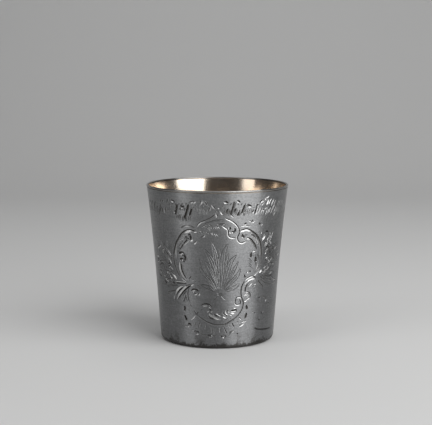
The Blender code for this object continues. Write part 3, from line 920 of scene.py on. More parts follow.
# The net of the wall in millimetres
wallMesh = {
    "low": 4.4,              # the flat pattern runs between these heights
    "high": 75.7,
    "rows": 42,
    "wanderArc": 0.25,       # how far the points of the plain wall stray, so that no grid shows
    "wanderUp": 0.3,
    "clearOfCuts": 0.7,
    "cell": 2,               # the strokes are looked up in squares of this size
    "dentRings": 3,
    "dentSpokes": 8,
    "cutStep": 0.42,         # spacing of points along a cut
    "narrowest": 0.004,      # half width at the end of a cut
    "fadeFrom": 0.02,        # half widths between which a cut comes to its depth
    "fadeOver": 0.08,
    # the steep side of a cut takes painted shade and the broad side a painted highlight
    "steepUp": 0.80,         # the steep side of a cut is the upper one, and in the frame the
    "steepOut": 0.90,        # one away from the middle of the front
    "steepReach": 14.0,
    "steepTurn": 0.2,
    "belowPattern": 3.1,     # one more ring before the foot bend
    "outerSteps": 7,
    "innerSteps": 5,
    "insideRows": 12,
    "ringChamfer": 0.15,
    "ringRounding": 0.1,
    "bendInset": 0.04,
    "shallowest": 0.002,     # what is less deep than this counts as plain wall
    "merge": 0.002,
    "crease": 14,
    "seed": 3,
}


def shapeOfCut(points, graver, outwards):
    line, at = smoothLine(points, wallMesh["cutStep"])
    along = np.gradient(line, axis=0)
    along = along / np.maximum(np.linalg.norm(along, axis=1, keepdims=True), 1e-9)
    left = np.stack([-along[:, 1], along[:, 0]], axis=1)
    total = at[-1]
    swell = min(graver["swell"], 0.5 * total)
    near = np.clip(np.minimum(at, total - at) / swell, 0, 1)
    half = 0.5 * graver["width"] * np.sin(0.5 * math.pi * near) ** graver.get("point", 0.7)
    half = np.maximum(half, wallMesh["narrowest"])
    out = outwards * wallMesh["steepOut"] * np.clip(line[:, 0] / wallMesh["steepReach"], -1, 1)
    towards = np.stack([out, np.full(len(line), wallMesh["steepUp"])], axis=1)
    towards = towards / np.linalg.norm(towards, axis=1, keepdims=True)
    turned = np.clip((left * towards).sum(axis=1) / wallMesh["steepTurn"], -1, 1)
    turned = turned * graver.get("side", 1)
    return {"line": line, "left": left, "half": half, "lean": graver["lean"] * turned,
            "steep": turned, "graver": graver}


def depthUnder(cut, arc, z):
    # How deep a cut is at each point, 0 outside it, how much it is on the steep side, and the painted
    # shade (above 0.5) or painted highlight (below) of that side
    line, half, lean = cut["line"], cut["half"], cut["lean"]
    reach = half.max() + 0.05
    low = line.min(axis=0) - reach
    high = line.max(axis=0) + reach
    close = (arc > low[0]) & (arc < high[0]) & (z > low[1]) & (z < high[1])
    where = np.nonzero(close)[0]
    p = np.stack([arc[where], z[where]], axis=1)
    a, b = line[:-1], line[1:]
    ab = b - a
    t = np.einsum("nsk,sk->ns", p[:, None] - a[None], ab) / np.maximum((ab ** 2).sum(1), 1e-12)
    t = np.clip(t, 0, 1)
    foot = a[None] + t[..., None] * ab[None]
    away = np.linalg.norm(p[:, None] - foot, axis=2)
    best = away.argmin(axis=1)
    pick = np.arange(len(where))
    tb = t[pick, best]
    off = p - foot[pick, best]
    side = np.sign(ab[best, 0] * off[:, 1] - ab[best, 1] * off[:, 0])
    signed = away[pick, best] * np.where(side == 0, 1, side)
    h = half[best] * (1 - tb) + half[best + 1] * tb
    bottom = (lean[best] * (1 - tb) + lean[best + 1] * tb) * h
    share = np.where(signed > bottom, (h - signed) / (h - bottom), (h + signed) / (h + bottom))
    share = np.clip(share, 0, 1)
    share = share * np.clip((h - wallMesh["fadeFrom"]) / wallMesh["fadeOver"], 0, 1)
    steep = cut["steep"][best] * (1 - tb) + cut["steep"][best + 1] * tb
    steep = steep * np.where(signed > bottom, 1, -1)
    # painted shade, with some tarnish, on the steep side; painted highlight on the broad side
    dark = 0.5 + 0.5 * steep * np.where(steep > 0, cut["graver"]["mark"], cut["graver"]["gleam"])
    return where, cut["graver"]["slope"] * h * share, share, dark


def gatherCuts():
    cuts = []
    framed = (cartouche, footOrnament, {"worn": leavesOfSheaf()})
    atTheSides = (sprays, fansAtTheSides(), branchesOnTheBack())
    unframed = (border, bruises, borderOnTheBack())
    # the number says how far the steep side turns away from the middle of the front
    for outwards, motifs in ((1.0, framed), (-0.5, atTheSides), (0.0, unframed)):
        for motif in motifs:
            for kind, strokes in motif.items():
                for points in strokes:
                    cuts.append(shapeOfCut(points, gravers[kind], outwards))
    for kind, points in flicks(flickRuns):
        cuts.append(shapeOfCut(points, gravers[kind], 0.0))
    return cuts


def cellOf(arc, z):
    return int(arc // wallMesh["cell"]), int(z // wallMesh["cell"])


def isCrowded(cells, arc, z):
    # Whether a stroke passes too near for a point of the plain wall
    across, up = cellOf(arc, z)
    for i in (across - 1, across, across + 1):
        for j in (up - 1, up, up + 1):
            for q in cells.get((i, j), ()):
                if (q[0] - arc) ** 2 + (q[1] - z) ** 2 < wallMesh["clearOfCuts"] ** 2:
                    return True
    return False


def plainPoints(cuts):
    # The plain wall: straight rows at its edges, and between them a grid that strays a little
    chance = random.Random(wallMesh["seed"])
    halfTurn = math.pi * beaker["wrapRadius"]
    columns, rows = beaker["columns"], wallMesh["rows"]
    low, high = wallMesh["low"], wallMesh["high"]
    points, cells = [], {}
    for q in np.vstack([cut["line"] for cut in cuts]):
        cells.setdefault(cellOf(*q), []).append(q)
    for i in range(columns + 1):
        for j in range(rows + 1):
            arc = -halfTurn + 2 * halfTurn * i / columns
            z = low + (high - low) * j / rows
            if 0 < i < columns and 0 < j < rows:
                arc += chance.uniform(-1, 1) * wallMesh["wanderArc"]
                z += chance.uniform(-1, 1) * wallMesh["wanderUp"]
                if isCrowded(cells, arc, z):
                    continue
            points.append((arc, z))
    return points


def pointsInDents():
    # Rings of points that give each knock its hollow
    points = []
    low, high = wallMesh["low"] + wallMesh["wanderUp"], wallMesh["high"] - wallMesh["wanderUp"]
    for where, height, spread, depth in dents:
        for k in range(wallMesh["dentRings"]):
            r = spread * (0.25 + 0.55 * k)
            for m in range(wallMesh["dentSpokes"]):
                turn = 2 * math.pi * (m + 0.5 * k) / wallMesh["dentSpokes"]
                z = height + r * math.sin(turn)
                if low < z < high:
                    points.append((where + r * math.cos(turn), z))
    return points


def flatPattern(cuts):
    # The wall rolled out flat and cut into triangles that follow every stroke
    points = plainPoints(cuts) + pointsInDents()
    edges = []
    for cut in cuts:
        middle = cut["line"] + cut["left"] * (cut["lean"] * cut["half"])[:, None]
        for offset in (cut["half"], -cut["half"]):
            side = cut["line"] + cut["left"] * offset[:, None]
            side[0], side[-1] = middle[0], middle[-1]
            start = len(points)
            points.extend(map(tuple, side))
            edges.extend((start + k, start + k + 1) for k in range(len(side) - 1))
        start = len(points)
        points.extend(map(tuple, middle))
        edges.extend((start + k, start + k + 1) for k in range(len(middle) - 1))
    made = delaunay_2d_cdt([Vector(p) for p in points], edges, [], 0, 1e-5)
    flat = np.array([tuple(v) for v in made[0]])
    return flat, made[2]


def bendOf(radius, steps):
    points = []
    for k in range(steps + 1):
        angle = -footLean + (-math.pi / 2 + footLean) * k / steps
        points.append((bendCentre + radius * math.cos(angle), outsideBend + radius * math.sin(angle)))
    return points


def insideRadius(z, skin):
    # Inner face of the sheet; skin is how much lies over it
    return turnedRadius(z) - beaker["wallThickness"] / math.cos(footLean) - skin


def addPiece(name, mesh):
    piece = bpy.data.objects.new(name, mesh)
    bpy.context.scene.collection.objects.link(piece)
    return piece


def finishPiece(name, form, crease=None):
    bmesh.ops.recalc_face_normals(form, faces=form.faces)
    mesh = bpy.data.meshes.new(name)
    form.to_mesh(mesh)
    form.free()
    if crease:
        mesh.set_sharp_from_angle(angle=math.radians(crease))
    return addPiece(name, mesh)


def addRings(form, rings, around, materialIndex=0, mark=None, closeUp=False):
    # Rings of (radius, height) in millimetres, joined by quads in the order given
    made = []
    for radius, height in rings:
        ring = []
        for k in range(around):
            a = -math.pi + 2 * math.pi * k / around
            r = radius(a) if callable(radius) else radius
            ring.append(form.verts.new((r * math.sin(a) * mm, -r * math.cos(a) * mm, height * mm)))
        made.append(ring)
    pairs = list(zip(made[:-1], made[1:]))
    if closeUp:
        pairs.append((made[-1], made[0]))
    for upper, lower in pairs:
        for k in range(around):
            n = (k + 1) % around
            face = form.faces.new((upper[k], lower[k], lower[n], upper[n]))
            face.material_index = materialIndex
            face.smooth = True
            if mark:
                face[mark[0]] = mark[1]
    return made


def buildWall():
    cuts = gatherCuts()
    flat, triangles = flatPattern(cuts)
    arc, z = flat[:, 0], flat[:, 1]
    depth, share = np.zeros(len(flat)), np.zeros(len(flat))
    corners = np.array(triangles)
    middleArc, middleZ = arc[corners].mean(axis=1), z[corners].mean(axis=1)
    deepest, flankShadeOrGleam = np.zeros(len(corners)), np.zeros(len(corners))
    for cut in cuts:
        where, deep, part, dark = depthUnder(cut, arc, z)
        depth[where] = np.maximum(depth[where], deep)
        share[where] = np.maximum(share[where], part)
        where, deep, part, dark = depthUnder(cut, middleArc, middleZ)
        deeper = deep > deepest[where]
        deepest[where[deeper]] = deep[deeper]
        flankShadeOrGleam[where[deeper]] = dark[deeper]
    place = onWall(arc, z, depth)
    form = bmesh.new()
    kindOf = form.faces.layers.int.new("kind")
    shareOf = form.verts.layers.float.new("cutShare")
    # the side of a cut that a face lies on decides its painted shade or painted highlight
    flankShadingOf = form.faces.layers.float.new("flankShadeOrHighlight")
    verts = []
    for k in range(len(flat)):
        v = form.verts.new(place[k])
        v[shareOf] = share[k]
        verts.append(v)
    for triangle, dark, deep in zip(triangles, flankShadeOrGleam, deepest):
        face = form.faces.new([verts[k] for k in triangle])
        face.smooth = True
        face[kindOf] = 1 if deep > wallMesh["shallowest"] else 0
        face[flankShadingOf] = dark
    # under the pattern: the rest of the wall, the foot bend, the foot ring, and the inside
    high, sheet = wallMesh["high"], beaker["wallThickness"]
    section = [(turnedRadius(z), z) for z in (wallMesh["low"], wallMesh["belowPattern"])]
    section += bendOf(outsideBend, wallMesh["outerSteps"])
    footEdge = bendCentre - beaker["footRing"]
    chamfer, rounding = wallMesh["ringChamfer"], wallMesh["ringRounding"]
    section += [(footEdge + chamfer, 0.0), (footEdge, chamfer)]
    section += [(footEdge, sheet - rounding), (footEdge + rounding, sheet)]
    inner = bendOf(beaker["insideBend"] + wallMesh["bendInset"], wallMesh["innerSteps"])
    inner.reverse()
    section += inner
    for k in range(1, wallMesh["insideRows"] + 1):
        height = inner[-1][1] + (high - inner[-1][1]) * k / wallMesh["insideRows"]
        section.append((insideRadius(height, -beaker["sheetInset"]), height))
    section.append((turnedRadius(high), high))
    addRings(form, section, beaker["columns"], mark=(kindOf, 2))
    bmesh.ops.remove_doubles(form, verts=form.verts, dist=wallMesh["merge"] * mm)
    piece = finishPiece("engraved_wall", form)
    finishWallNormals(piece.data)
    print("wall:", len(cuts), "cuts,", len(piece.data.polygons), "faces")
    return piece


def finishWallNormals(mesh):
    # The plain metal between the cuts keeps the normals of the smooth wall
    mesh.set_sharp_from_angle(angle=math.radians(wallMesh["crease"]))
    loops = len(mesh.loops)
    normals = np.zeros(loops * 3, np.float32)
    mesh.corner_normals.foreach_get("vector", normals)
    normals = normals.reshape(-1, 3).astype(float)
    vertexOf = np.zeros(loops, np.int32)
    mesh.loops.foreach_get("vertex_index", vertexOf)
    place = np.zeros(len(mesh.vertices) * 3, np.float32)
    mesh.vertices.foreach_get("co", place)
    place = place.reshape(-1, 3).astype(float) / mm
    kinds = np.zeros(len(mesh.polygons), np.int32)
    mesh.attributes["kind"].data.foreach_get("value", kinds)
    sizes = np.zeros(len(mesh.polygons), np.int32)
    mesh.polygons.foreach_get("loop_total", sizes)
    kindOfLoop = np.repeat(kinds, sizes)
    arc = np.arctan2(place[:, 0], -place[:, 1]) * beaker["wrapRadius"]
    smooth = wallNormal(arc, place[:, 2])
    plain = kindOfLoop == 0
    normals[plain] = smooth[vertexOf[plain]]
    mesh.normals_split_custom_set(normals.tolist())


wall = buildWall()

liningShape = {"skin": 0.05, "rows": 26, "around": 144, "low": 2.0, "belowLip": 0.55, "crease": 40}


def buildLining():
    # The gilding on the inside of the wall, a thin skin that ends just under the lip
    form = bmesh.new()
    low, high = liningShape["low"], beaker["height"] - liningShape["belowLip"]
    heights = [low + (high - low) * k / liningShape["rows"] for k in range(liningShape["rows"] + 1)]

    def wavering(height):
        # The same unevenness as on the outside, seen from within
        r = insideRadius(height, liningShape["skin"])
        return lambda a: r + float(handRaised(np.array(a * beaker["wrapRadius"]), np.array(height)))

    rings = [(wavering(z), z) for z in heights]
    rings += [(insideRadius(z, -beaker["sheetInset"]), z) for z in reversed(heights)]
    addRings(form, rings, liningShape["around"], closeUp=True)
    return finishPiece("gilt_lining", form, liningShape["crease"])


lining = buildLining()

lipShape = {"around": 240, "section": 20, "radius": 0.52, "flattened": 0.96, "worn": 0.00875}


def buildLip():
    # The round wire on the rim, a little flattened and unevenly worn
    form = bmesh.new()
    centre = beaker["lipRadius"] - beaker["wireRadius"]
    rings = []
    for k in range(lipShape["section"]):
        turn = 2 * math.pi * k / lipShape["section"]

        def radius(a, turn=turn):
            worn = lipShape["worn"] * (math.sin(5 * a + 1.0) + math.sin(11 * a + 2.3))
            return centre + (lipShape["radius"] + worn) * math.cos(turn)

        up = lipShape["radius"] * lipShape["flattened"] * math.sin(turn)
        rings.append((radius, beaker["height"] - beaker["wireRadius"] + up))
    addRings(form, rings, lipShape["around"], closeUp=True)
    return finishPiece("lip_bead", form)


lip = buildLip()

baseShape = {"around": 120, "rings": 18, "edge": 26.2, "crease": 40}


def baseRise(r):
    flatStart = bendCentre - beaker["footRing"]
    if r >= flatStart:
        return 0.0
    return beaker["baseDome"] * (1 + math.cos(math.pi * r / flatStart)) / 2


def buildBase():
    # Domed disc, gilt above and silver below
    form = bmesh.new()
    around = baseShape["around"]
    radii = [baseShape["edge"] * k / baseShape["rings"] for k in range(1, baseShape["rings"] + 1)]
    bottom = beaker["baseBottom"]
    top = bottom + beaker["baseThickness"]
    upper = addRings(form, [(r, top + baseRise(r)) for r in radii], around)
    lower = addRings(form, [(r, bottom + baseRise(r)) for r in reversed(radii)], around, 1)
    for k in range(around):
        n = (k + 1) % around
        edge = form.faces.new((upper[-1][k], lower[0][k], lower[0][n], upper[-1][n]))
        edge.material_index = 1
    for ring, height, index in ((upper[0], top, 0), (lower[-1], bottom, 1)):
        centre = form.verts.new((0, 0, (height + beaker["baseDome"]) * mm))
        for k in range(around):
            n = (k + 1) % around
            face = form.faces.new((ring[k], ring[n], centre))
            face.material_index = index
            face.smooth = True
    return finishPiece("domed_base", form, baseShape["crease"])


base = buildBase()

filletShape = {
    "around": 144,
    "steps": 8,
    "top": 3.7,
    "reach": 2.2,            # in over the base
    "skin": 0.04,            # how far it stands off the sheet
    "intoWall": 0.2,
    "sunk": 0.1,             # below the top of the base
    "crease": 40,
}


def buildFillet():
    # Run of solder where the base meets the wall, drawn up in a hollow curve
    form = bmesh.new()
    onBase = beaker["baseBottom"] + beaker["baseThickness"]
    top, sunk = filletShape["top"], onBase - filletShape["sunk"]
    crest = insideRadius(top, filletShape["skin"])
    toe = crest - filletShape["reach"]
    rings = []
    for k in range(filletShape["steps"] + 1):
        t = k / filletShape["steps"]
        r = toe + (crest - toe) * (2 * t - t * t)
        rings.append((r, onBase - 0.02 + (top - onBase) * t * t))
    rings += [(crest + filletShape["intoWall"], top - 0.1), (crest, sunk), (toe, sunk)]
    addRings(form, rings, filletShape["around"], closeUp=True)
    return finishPiece("base_fillet", form, filletShape["crease"])


fillet = buildFillet()

seamShape = {
    "low": 2.4,
    "width": 0.75,
    "uneven": 0.22,
    "drift": 0.06,
    "flat": 0.4,             # share of its width that is filed flat
    "proud": 0.03,
    "sunk": 0.05,
    "rows": 40,
    "crease": 60,
    "seed": 9,
}


def buildSeam():
    # Solder line down the back, a little proud of the sheet outside and under the gilding inside
    chance = random.Random(seamShape["seed"])
    form = bmesh.new()
    rows = []
    low, flat = seamShape["low"], seamShape["flat"]
    for k in range(seamShape["rows"] + 1):
        z = low + (beaker["wallTop"] - low) * k / seamShape["rows"]
        half = 0.5 * seamShape["width"] * (1 + seamShape["uneven"] * chance.uniform(-1, 1))
        drift = seamShape["drift"] * chance.uniform(-1, 1)
        crown, back = turnedRadius(z) + seamShape["proud"], insideRadius(z, 0.0)
        front, behind = turnedRadius(z) - seamShape["sunk"], back + seamShape["sunk"]
        section = [(-1, front), (-flat, crown), (flat, crown), (1, front),
                   (1, behind), (flat, back), (-flat, back), (-1, behind)]
        rows.append([form.verts.new(((drift + side * half) * mm, y * mm, z * mm))
                     for side, y in section])
    for lower, upper in zip(rows[:-1], rows[1:]):
        for k in range(len(lower)):
            n = (k + 1) % len(lower)
            form.faces.new((lower[k], lower[n], upper[n], upper[k])).smooth = True
    form.faces.new(rows[0])
    form.faces.new(rows[-1])
    return finishPiece("back_seam", form, seamShape["crease"])


seam = buildSeam()
print("pieces built")


def newGroup(name, inputs, outputs):
    group = bpy.data.node_groups.new(name, "ShaderNodeTree")
    for title, kind, value in inputs:
        socket = group.interface.new_socket(name=title, in_out="INPUT", socket_type=kind)
        if value is not None:
            socket.default_value = value
    for title, kind in outputs:
        group.interface.new_socket(name=title, in_out="OUTPUT", socket_type=kind)
    entry = group.nodes.new("NodeGroupInput")
    result = group.nodes.new("NodeGroupOutput")
    return group, entry, result


def feed(tree, socket, value):
    # A socket takes a value, or a link from another node's output
    if isinstance(value, bpy.types.NodeSocket):
        tree.links.new(value, socket)
    else:
        socket.default_value = value


def node(tree, kind, sockets, **settings):
    made = tree.nodes.new(kind)
    for key, value in settings.items():
        setattr(made, key, value)
    for key, value in sockets.items():
        feed(tree, made.inputs[key], value)
    return made


def mathNode(tree, operation, a, b=None, c=None, clamp=False):
    made = tree.nodes.new("ShaderNodeMath")
    made.operation = operation
    made.use_clamp = clamp
    for k, value in enumerate((a, b, c)):
        if value is not None:
            feed(tree, made.inputs[k], value)
    return made.outputs[0]


def rampBetween(tree, value, low, high, toLow=0.0, toHigh=1.0):
    made = tree.nodes.new("ShaderNodeMapRange")
    made.interpolation_type = "SMOOTHSTEP"
    made.clamp = True
    titles = ("Value", "From Min", "From Max", "To Min", "To Max")
    for title, given in zip(titles, (value, low, high, toLow, toHigh)):
        feed(tree, made.inputs[title], given)
    return made.outputs["Result"]


def mixColours(tree, factor, first, second, blend="MIX"):
    made = tree.nodes.new("ShaderNodeMix")
    made.data_type = "RGBA"
    made.blend_type = blend
    # the mix node keeps its colour sockets at 6 and 7, and the colour it gives at 2
    for k, value in ((0, factor), (6, first), (7, second)):
        feed(tree, made.inputs[k], value)
    return made.outputs[2]


def makeWrapGroup():
    # Object coordinates turned into arc, depth and height in millimetres, for marks that run round
    group, entry, result = newGroup("wrap round the beaker", [("Vector", "NodeSocketVector", None)],
                                    [("Vector", "NodeSocketVector")])
    parts = node(group, "ShaderNodeSeparateXYZ", {0: entry.outputs["Vector"]})
    behind = mathNode(group, "MULTIPLY", parts.outputs["Y"], -1.0)
    angle = mathNode(group, "ARCTAN2", parts.outputs["X"], behind)
    arc = mathNode(group, "MULTIPLY", angle, beaker["wrapRadius"])
    squareX = mathNode(group, "MULTIPLY", parts.outputs["X"], parts.outputs["X"])
    squareY = mathNode(group, "MULTIPLY", parts.outputs["Y"], parts.outputs["Y"])
    radius = mathNode(group, "SQRT", mathNode(group, "ADD", squareX, squareY))
    radius = mathNode(group, "MULTIPLY", radius, perMetre)
    height = mathNode(group, "MULTIPLY", parts.outputs["Z"], perMetre)
    joined = node(group, "ShaderNodeCombineXYZ", {0: arc, 1: radius, 2: height})
    group.links.new(joined.outputs[0], result.inputs["Vector"])
    return group


def makeScratchGroup():
    # Hairline scratches in one direction; several are laid over each other
    inputs = [
        ("Vector", "NodeSocketVector", None),
        ("Angle", "NodeSocketFloat", 0.0),
        ("Length", "NodeSocketFloat", 9.0),
        ("Spacing", "NodeSocketFloat", 0.35),
        ("Coverage", "NodeSocketFloat", 0.3),
    ]
    group, entry, result = newGroup("hairline scratches", inputs, [("Mask", "NodeSocketFloat")])
    turned = node(group, "ShaderNodeVectorRotate",
                  {"Vector": entry.outputs["Vector"], "Angle": entry.outputs["Angle"]},
                  rotation_type="Y_AXIS")
    parts = node(group, "ShaderNodeSeparateXYZ", {0: turned.outputs[0]})
    # slow noise bows the lines, so that none is ruler straight
    bow = node(group, "ShaderNodeTexNoise", {"Vector": turned.outputs[0], "Scale": 0.07, "Detail": 1.0})
    across = mathNode(group, "MULTIPLY_ADD", bow.outputs[0], 5.0, parts.outputs["Z"])
    x = mathNode(group, "DIVIDE", parts.outputs["X"], entry.outputs["Length"])
    z = mathNode(group, "DIVIDE", across, entry.outputs["Spacing"])
    stretched = node(group, "ShaderNodeCombineXYZ", {0: x, 1: 0.0, 2: z})
    lines = node(group, "ShaderNodeTexNoise",
                 {"Vector": stretched.outputs[0], "Scale": 1.0, "Detail": 2.0, "Roughness": 0.55})
    # the more coverage, the more of the noise counts as a line
    low = mathNode(group, "MULTIPLY_ADD", entry.outputs["Coverage"], -0.4, 0.74)
    high = mathNode(group, "ADD", low, 0.10)
    mask = rampBetween(group, lines.outputs[0], low, high)
    group.links.new(mask, result.inputs["Mask"])
    return group


def makeCloudGroup():
    # Soft blotches of handling and tarnish
    inputs = [
        ("Vector", "NodeSocketVector", None),
        ("Size", "NodeSocketFloat", 12.0),
        ("Contrast", "NodeSocketFloat", 0.5),
    ]
    group, entry, result = newGroup("tarnish clouds", inputs, [("Mask", "NodeSocketFloat")])
    blotch = entry.outputs["Size"]
    size = node(group, "ShaderNodeCombineXYZ", {0: blotch, 1: blotch, 2: blotch})
    scaled = node(group, "ShaderNodeVectorMath", {0: entry.outputs["Vector"], 1: size.outputs[0]},
                  operation="DIVIDE")
    noise = node(group, "ShaderNodeTexNoise",
                 {"Vector": scaled.outputs[0], "Scale": 1.0, "Detail": 5.0, "Roughness": 0.6,
                  "Distortion": 0.4})
    middle = mathNode(group, "SUBTRACT", noise.outputs[0], 0.5)
    strength = mathNode(group, "MULTIPLY", entry.outputs["Contrast"], 3.0)
    mask = mathNode(group, "MULTIPLY_ADD", middle, strength, 0.5, clamp=True)
    group.links.new(mask, result.inputs["Mask"])
    return group


wrapGroup = makeWrapGroup()
scratchGroup = makeScratchGroup()
cloudGroup = makeCloudGroup()


def useGroup(tree, group, **inputs):
    made = tree.nodes.new("ShaderNodeGroup")
    made.node_tree = group
    for title, value in inputs.items():
        feed(tree, made.inputs[title], value)
    return made


def newMaterial(name, wraps=True):
    # A bare metal and its coordinates in millimetres, wrapped round the beaker or straight
    material = bpy.data.materials.new(name)
    material.use_nodes = True
    tree = material.node_tree
    shader = tree.nodes["Principled BSDF"]
    shader.inputs["Metallic"].default_value = 1.0
    where = tree.nodes.new("ShaderNodeTexCoord").outputs["Object"]
    if wraps:
        placed = useGroup(tree, wrapGroup, Vector=where)
    else:
        placed = node(tree, "ShaderNodeVectorMath", {0: where, 1: (perMetre, perMetre, perMetre)},
                      operation="MULTIPLY")
    return material, tree, shader, placed.outputs["Vector"]


def layScratches(tree, vector, settings):
    # Adds the scratch directions together
    total = None
    for angle, length, spacing, coverage, weight in settings:
        one = useGroup(tree, scratchGroup, Vector=vector, Angle=math.radians(angle), Length=length,
                       Spacing=spacing, Coverage=coverage)
        weighed = mathNode(tree, "MULTIPLY", one.outputs["Mask"], weight)
        total = weighed if total is None else mathNode(tree, "ADD", total, weighed)
    return total


silverLook = {
    "clean": (0.422, 0.427, 0.432, 1.0),
    "dull": (0.312, 0.315, 0.318, 1.0),
    # painted highlight for the broad side of a cut; painted shade with oxide for its steep side and
    # bottom
    "paintedFlankHighlight": (0.80, 0.80, 0.795, 1.0),
    "cutOxideAndShade": (0.050, 0.047, 0.044, 1.0),
    "specks": (0.71, 0.71, 0.71, 1.0),      # the colour is multiplied by these at their darkest
    "brushing": (0.91, 0.91, 0.91, 1.0),
    "lowPatchDarkening": (0.36, 0.34, 0.32, 1.0),
    "footEdgeDark": (0.07, 0.066, 0.062, 1.0),
    "lowerWallShade": (0.84, 0.84, 0.845, 1.0),     # painted shade: the wall darker down from under the border
    "lowerShadeFrom": 64.0,
    "lowerShadeFully": 44.0,
    "lowPatchFully": 2.0,                       # heights in millimetres
    "lowPatchTop": 10.0,
    "footEdgeFully": 0.2,
    "footEdgeTop": 1.2,
    "footEdgeCover": 0.9,
    "crumbsLift": 1.6,                       # how far these carry the darkening at the foot up the wall
    "patchesLift": 1.4,
    "drawnOut": 0.9,                         # how far the polishing draws a light out
    "roughness": 0.34,
    "roughnessSpread": 0.12,
    "clouds": {"Size": 14.0, "Contrast": 0.45},
    "mottling": {"Size": 2.2, "Contrast": 0.6},
    "speckling": {"Size": 0.75, "Contrast": 1.0},
    "brush": {"Angle": math.radians(2), "Length": 13.0, "Spacing": 0.42, "Coverage": 0.75},
    "patches": {"Size": 5.0, "Contrast": 1.0},
    "crumbs": {"Size": 0.9, "Contrast": 1.0},
    # angle, length, spacing in mm, coverage, weight
    "scratches": [
        (4, 16.0, 0.16, 0.32, 0.8),
        (-11, 12.0, 0.22, 0.30, 0.6),
        (68, 7.0, 0.25, 0.22, 0.5),
        (35, 8.0, 0.30, 0.18, 0.5),
    ],
    "scratchBump": 0.012,
    "grainBump": 0.010,
}


def darkenLowerWall(tree, vector, look, colour):
    # Painted shade that darkens the wall below the border, then darker patches towards the foot and a
    # darker ragged band at the foot itself
    parts = node(tree, "ShaderNodeSeparateXYZ", {0: vector})
    # painted shade, none above the border and full below mid height
    lowerShaded = rampBetween(tree, parts.outputs["Z"], look["lowerShadeFully"], look["lowerShadeFrom"], 1.0, 0.0)
    colour = mixColours(tree, lowerShaded, colour, look["lowerWallShade"], "MULTIPLY")
    patches = useGroup(tree, cloudGroup, Vector=vector, **look["patches"])
    crumbs = useGroup(tree, cloudGroup, Vector=vector, **look["crumbs"])
    # the wall goes darker in patches towards the foot
    low = rampBetween(tree, parts.outputs["Z"], look["lowPatchFully"], look["lowPatchTop"], 1.0, 0.0)
    patchy = rampBetween(tree, patches.outputs["Mask"], 0.45, 0.75)
    speckled = mathNode(tree, "MULTIPLY_ADD", crumbs.outputs["Mask"], 0.7, 0.3)
    lowPatched = mathNode(tree, "MULTIPLY", mathNode(tree, "MULTIPLY", low, patchy), speckled)
    colour = mixColours(tree, lowPatched, colour, look["lowPatchDarkening"], "MULTIPLY")
    # and darker still in a ragged band at the foot
    ragged = mathNode(tree, "MULTIPLY_ADD", crumbs.outputs["Mask"], -look["crumbsLift"],
                      parts.outputs["Z"])
    ragged = mathNode(tree, "MULTIPLY_ADD", patches.outputs["Mask"], -look["patchesLift"], ragged)
    footEdged = rampBetween(tree, ragged, look["footEdgeFully"], look["footEdgeTop"], look["footEdgeCover"], 0.0)
    return mixColours(tree, footEdged, colour, look["footEdgeDark"])


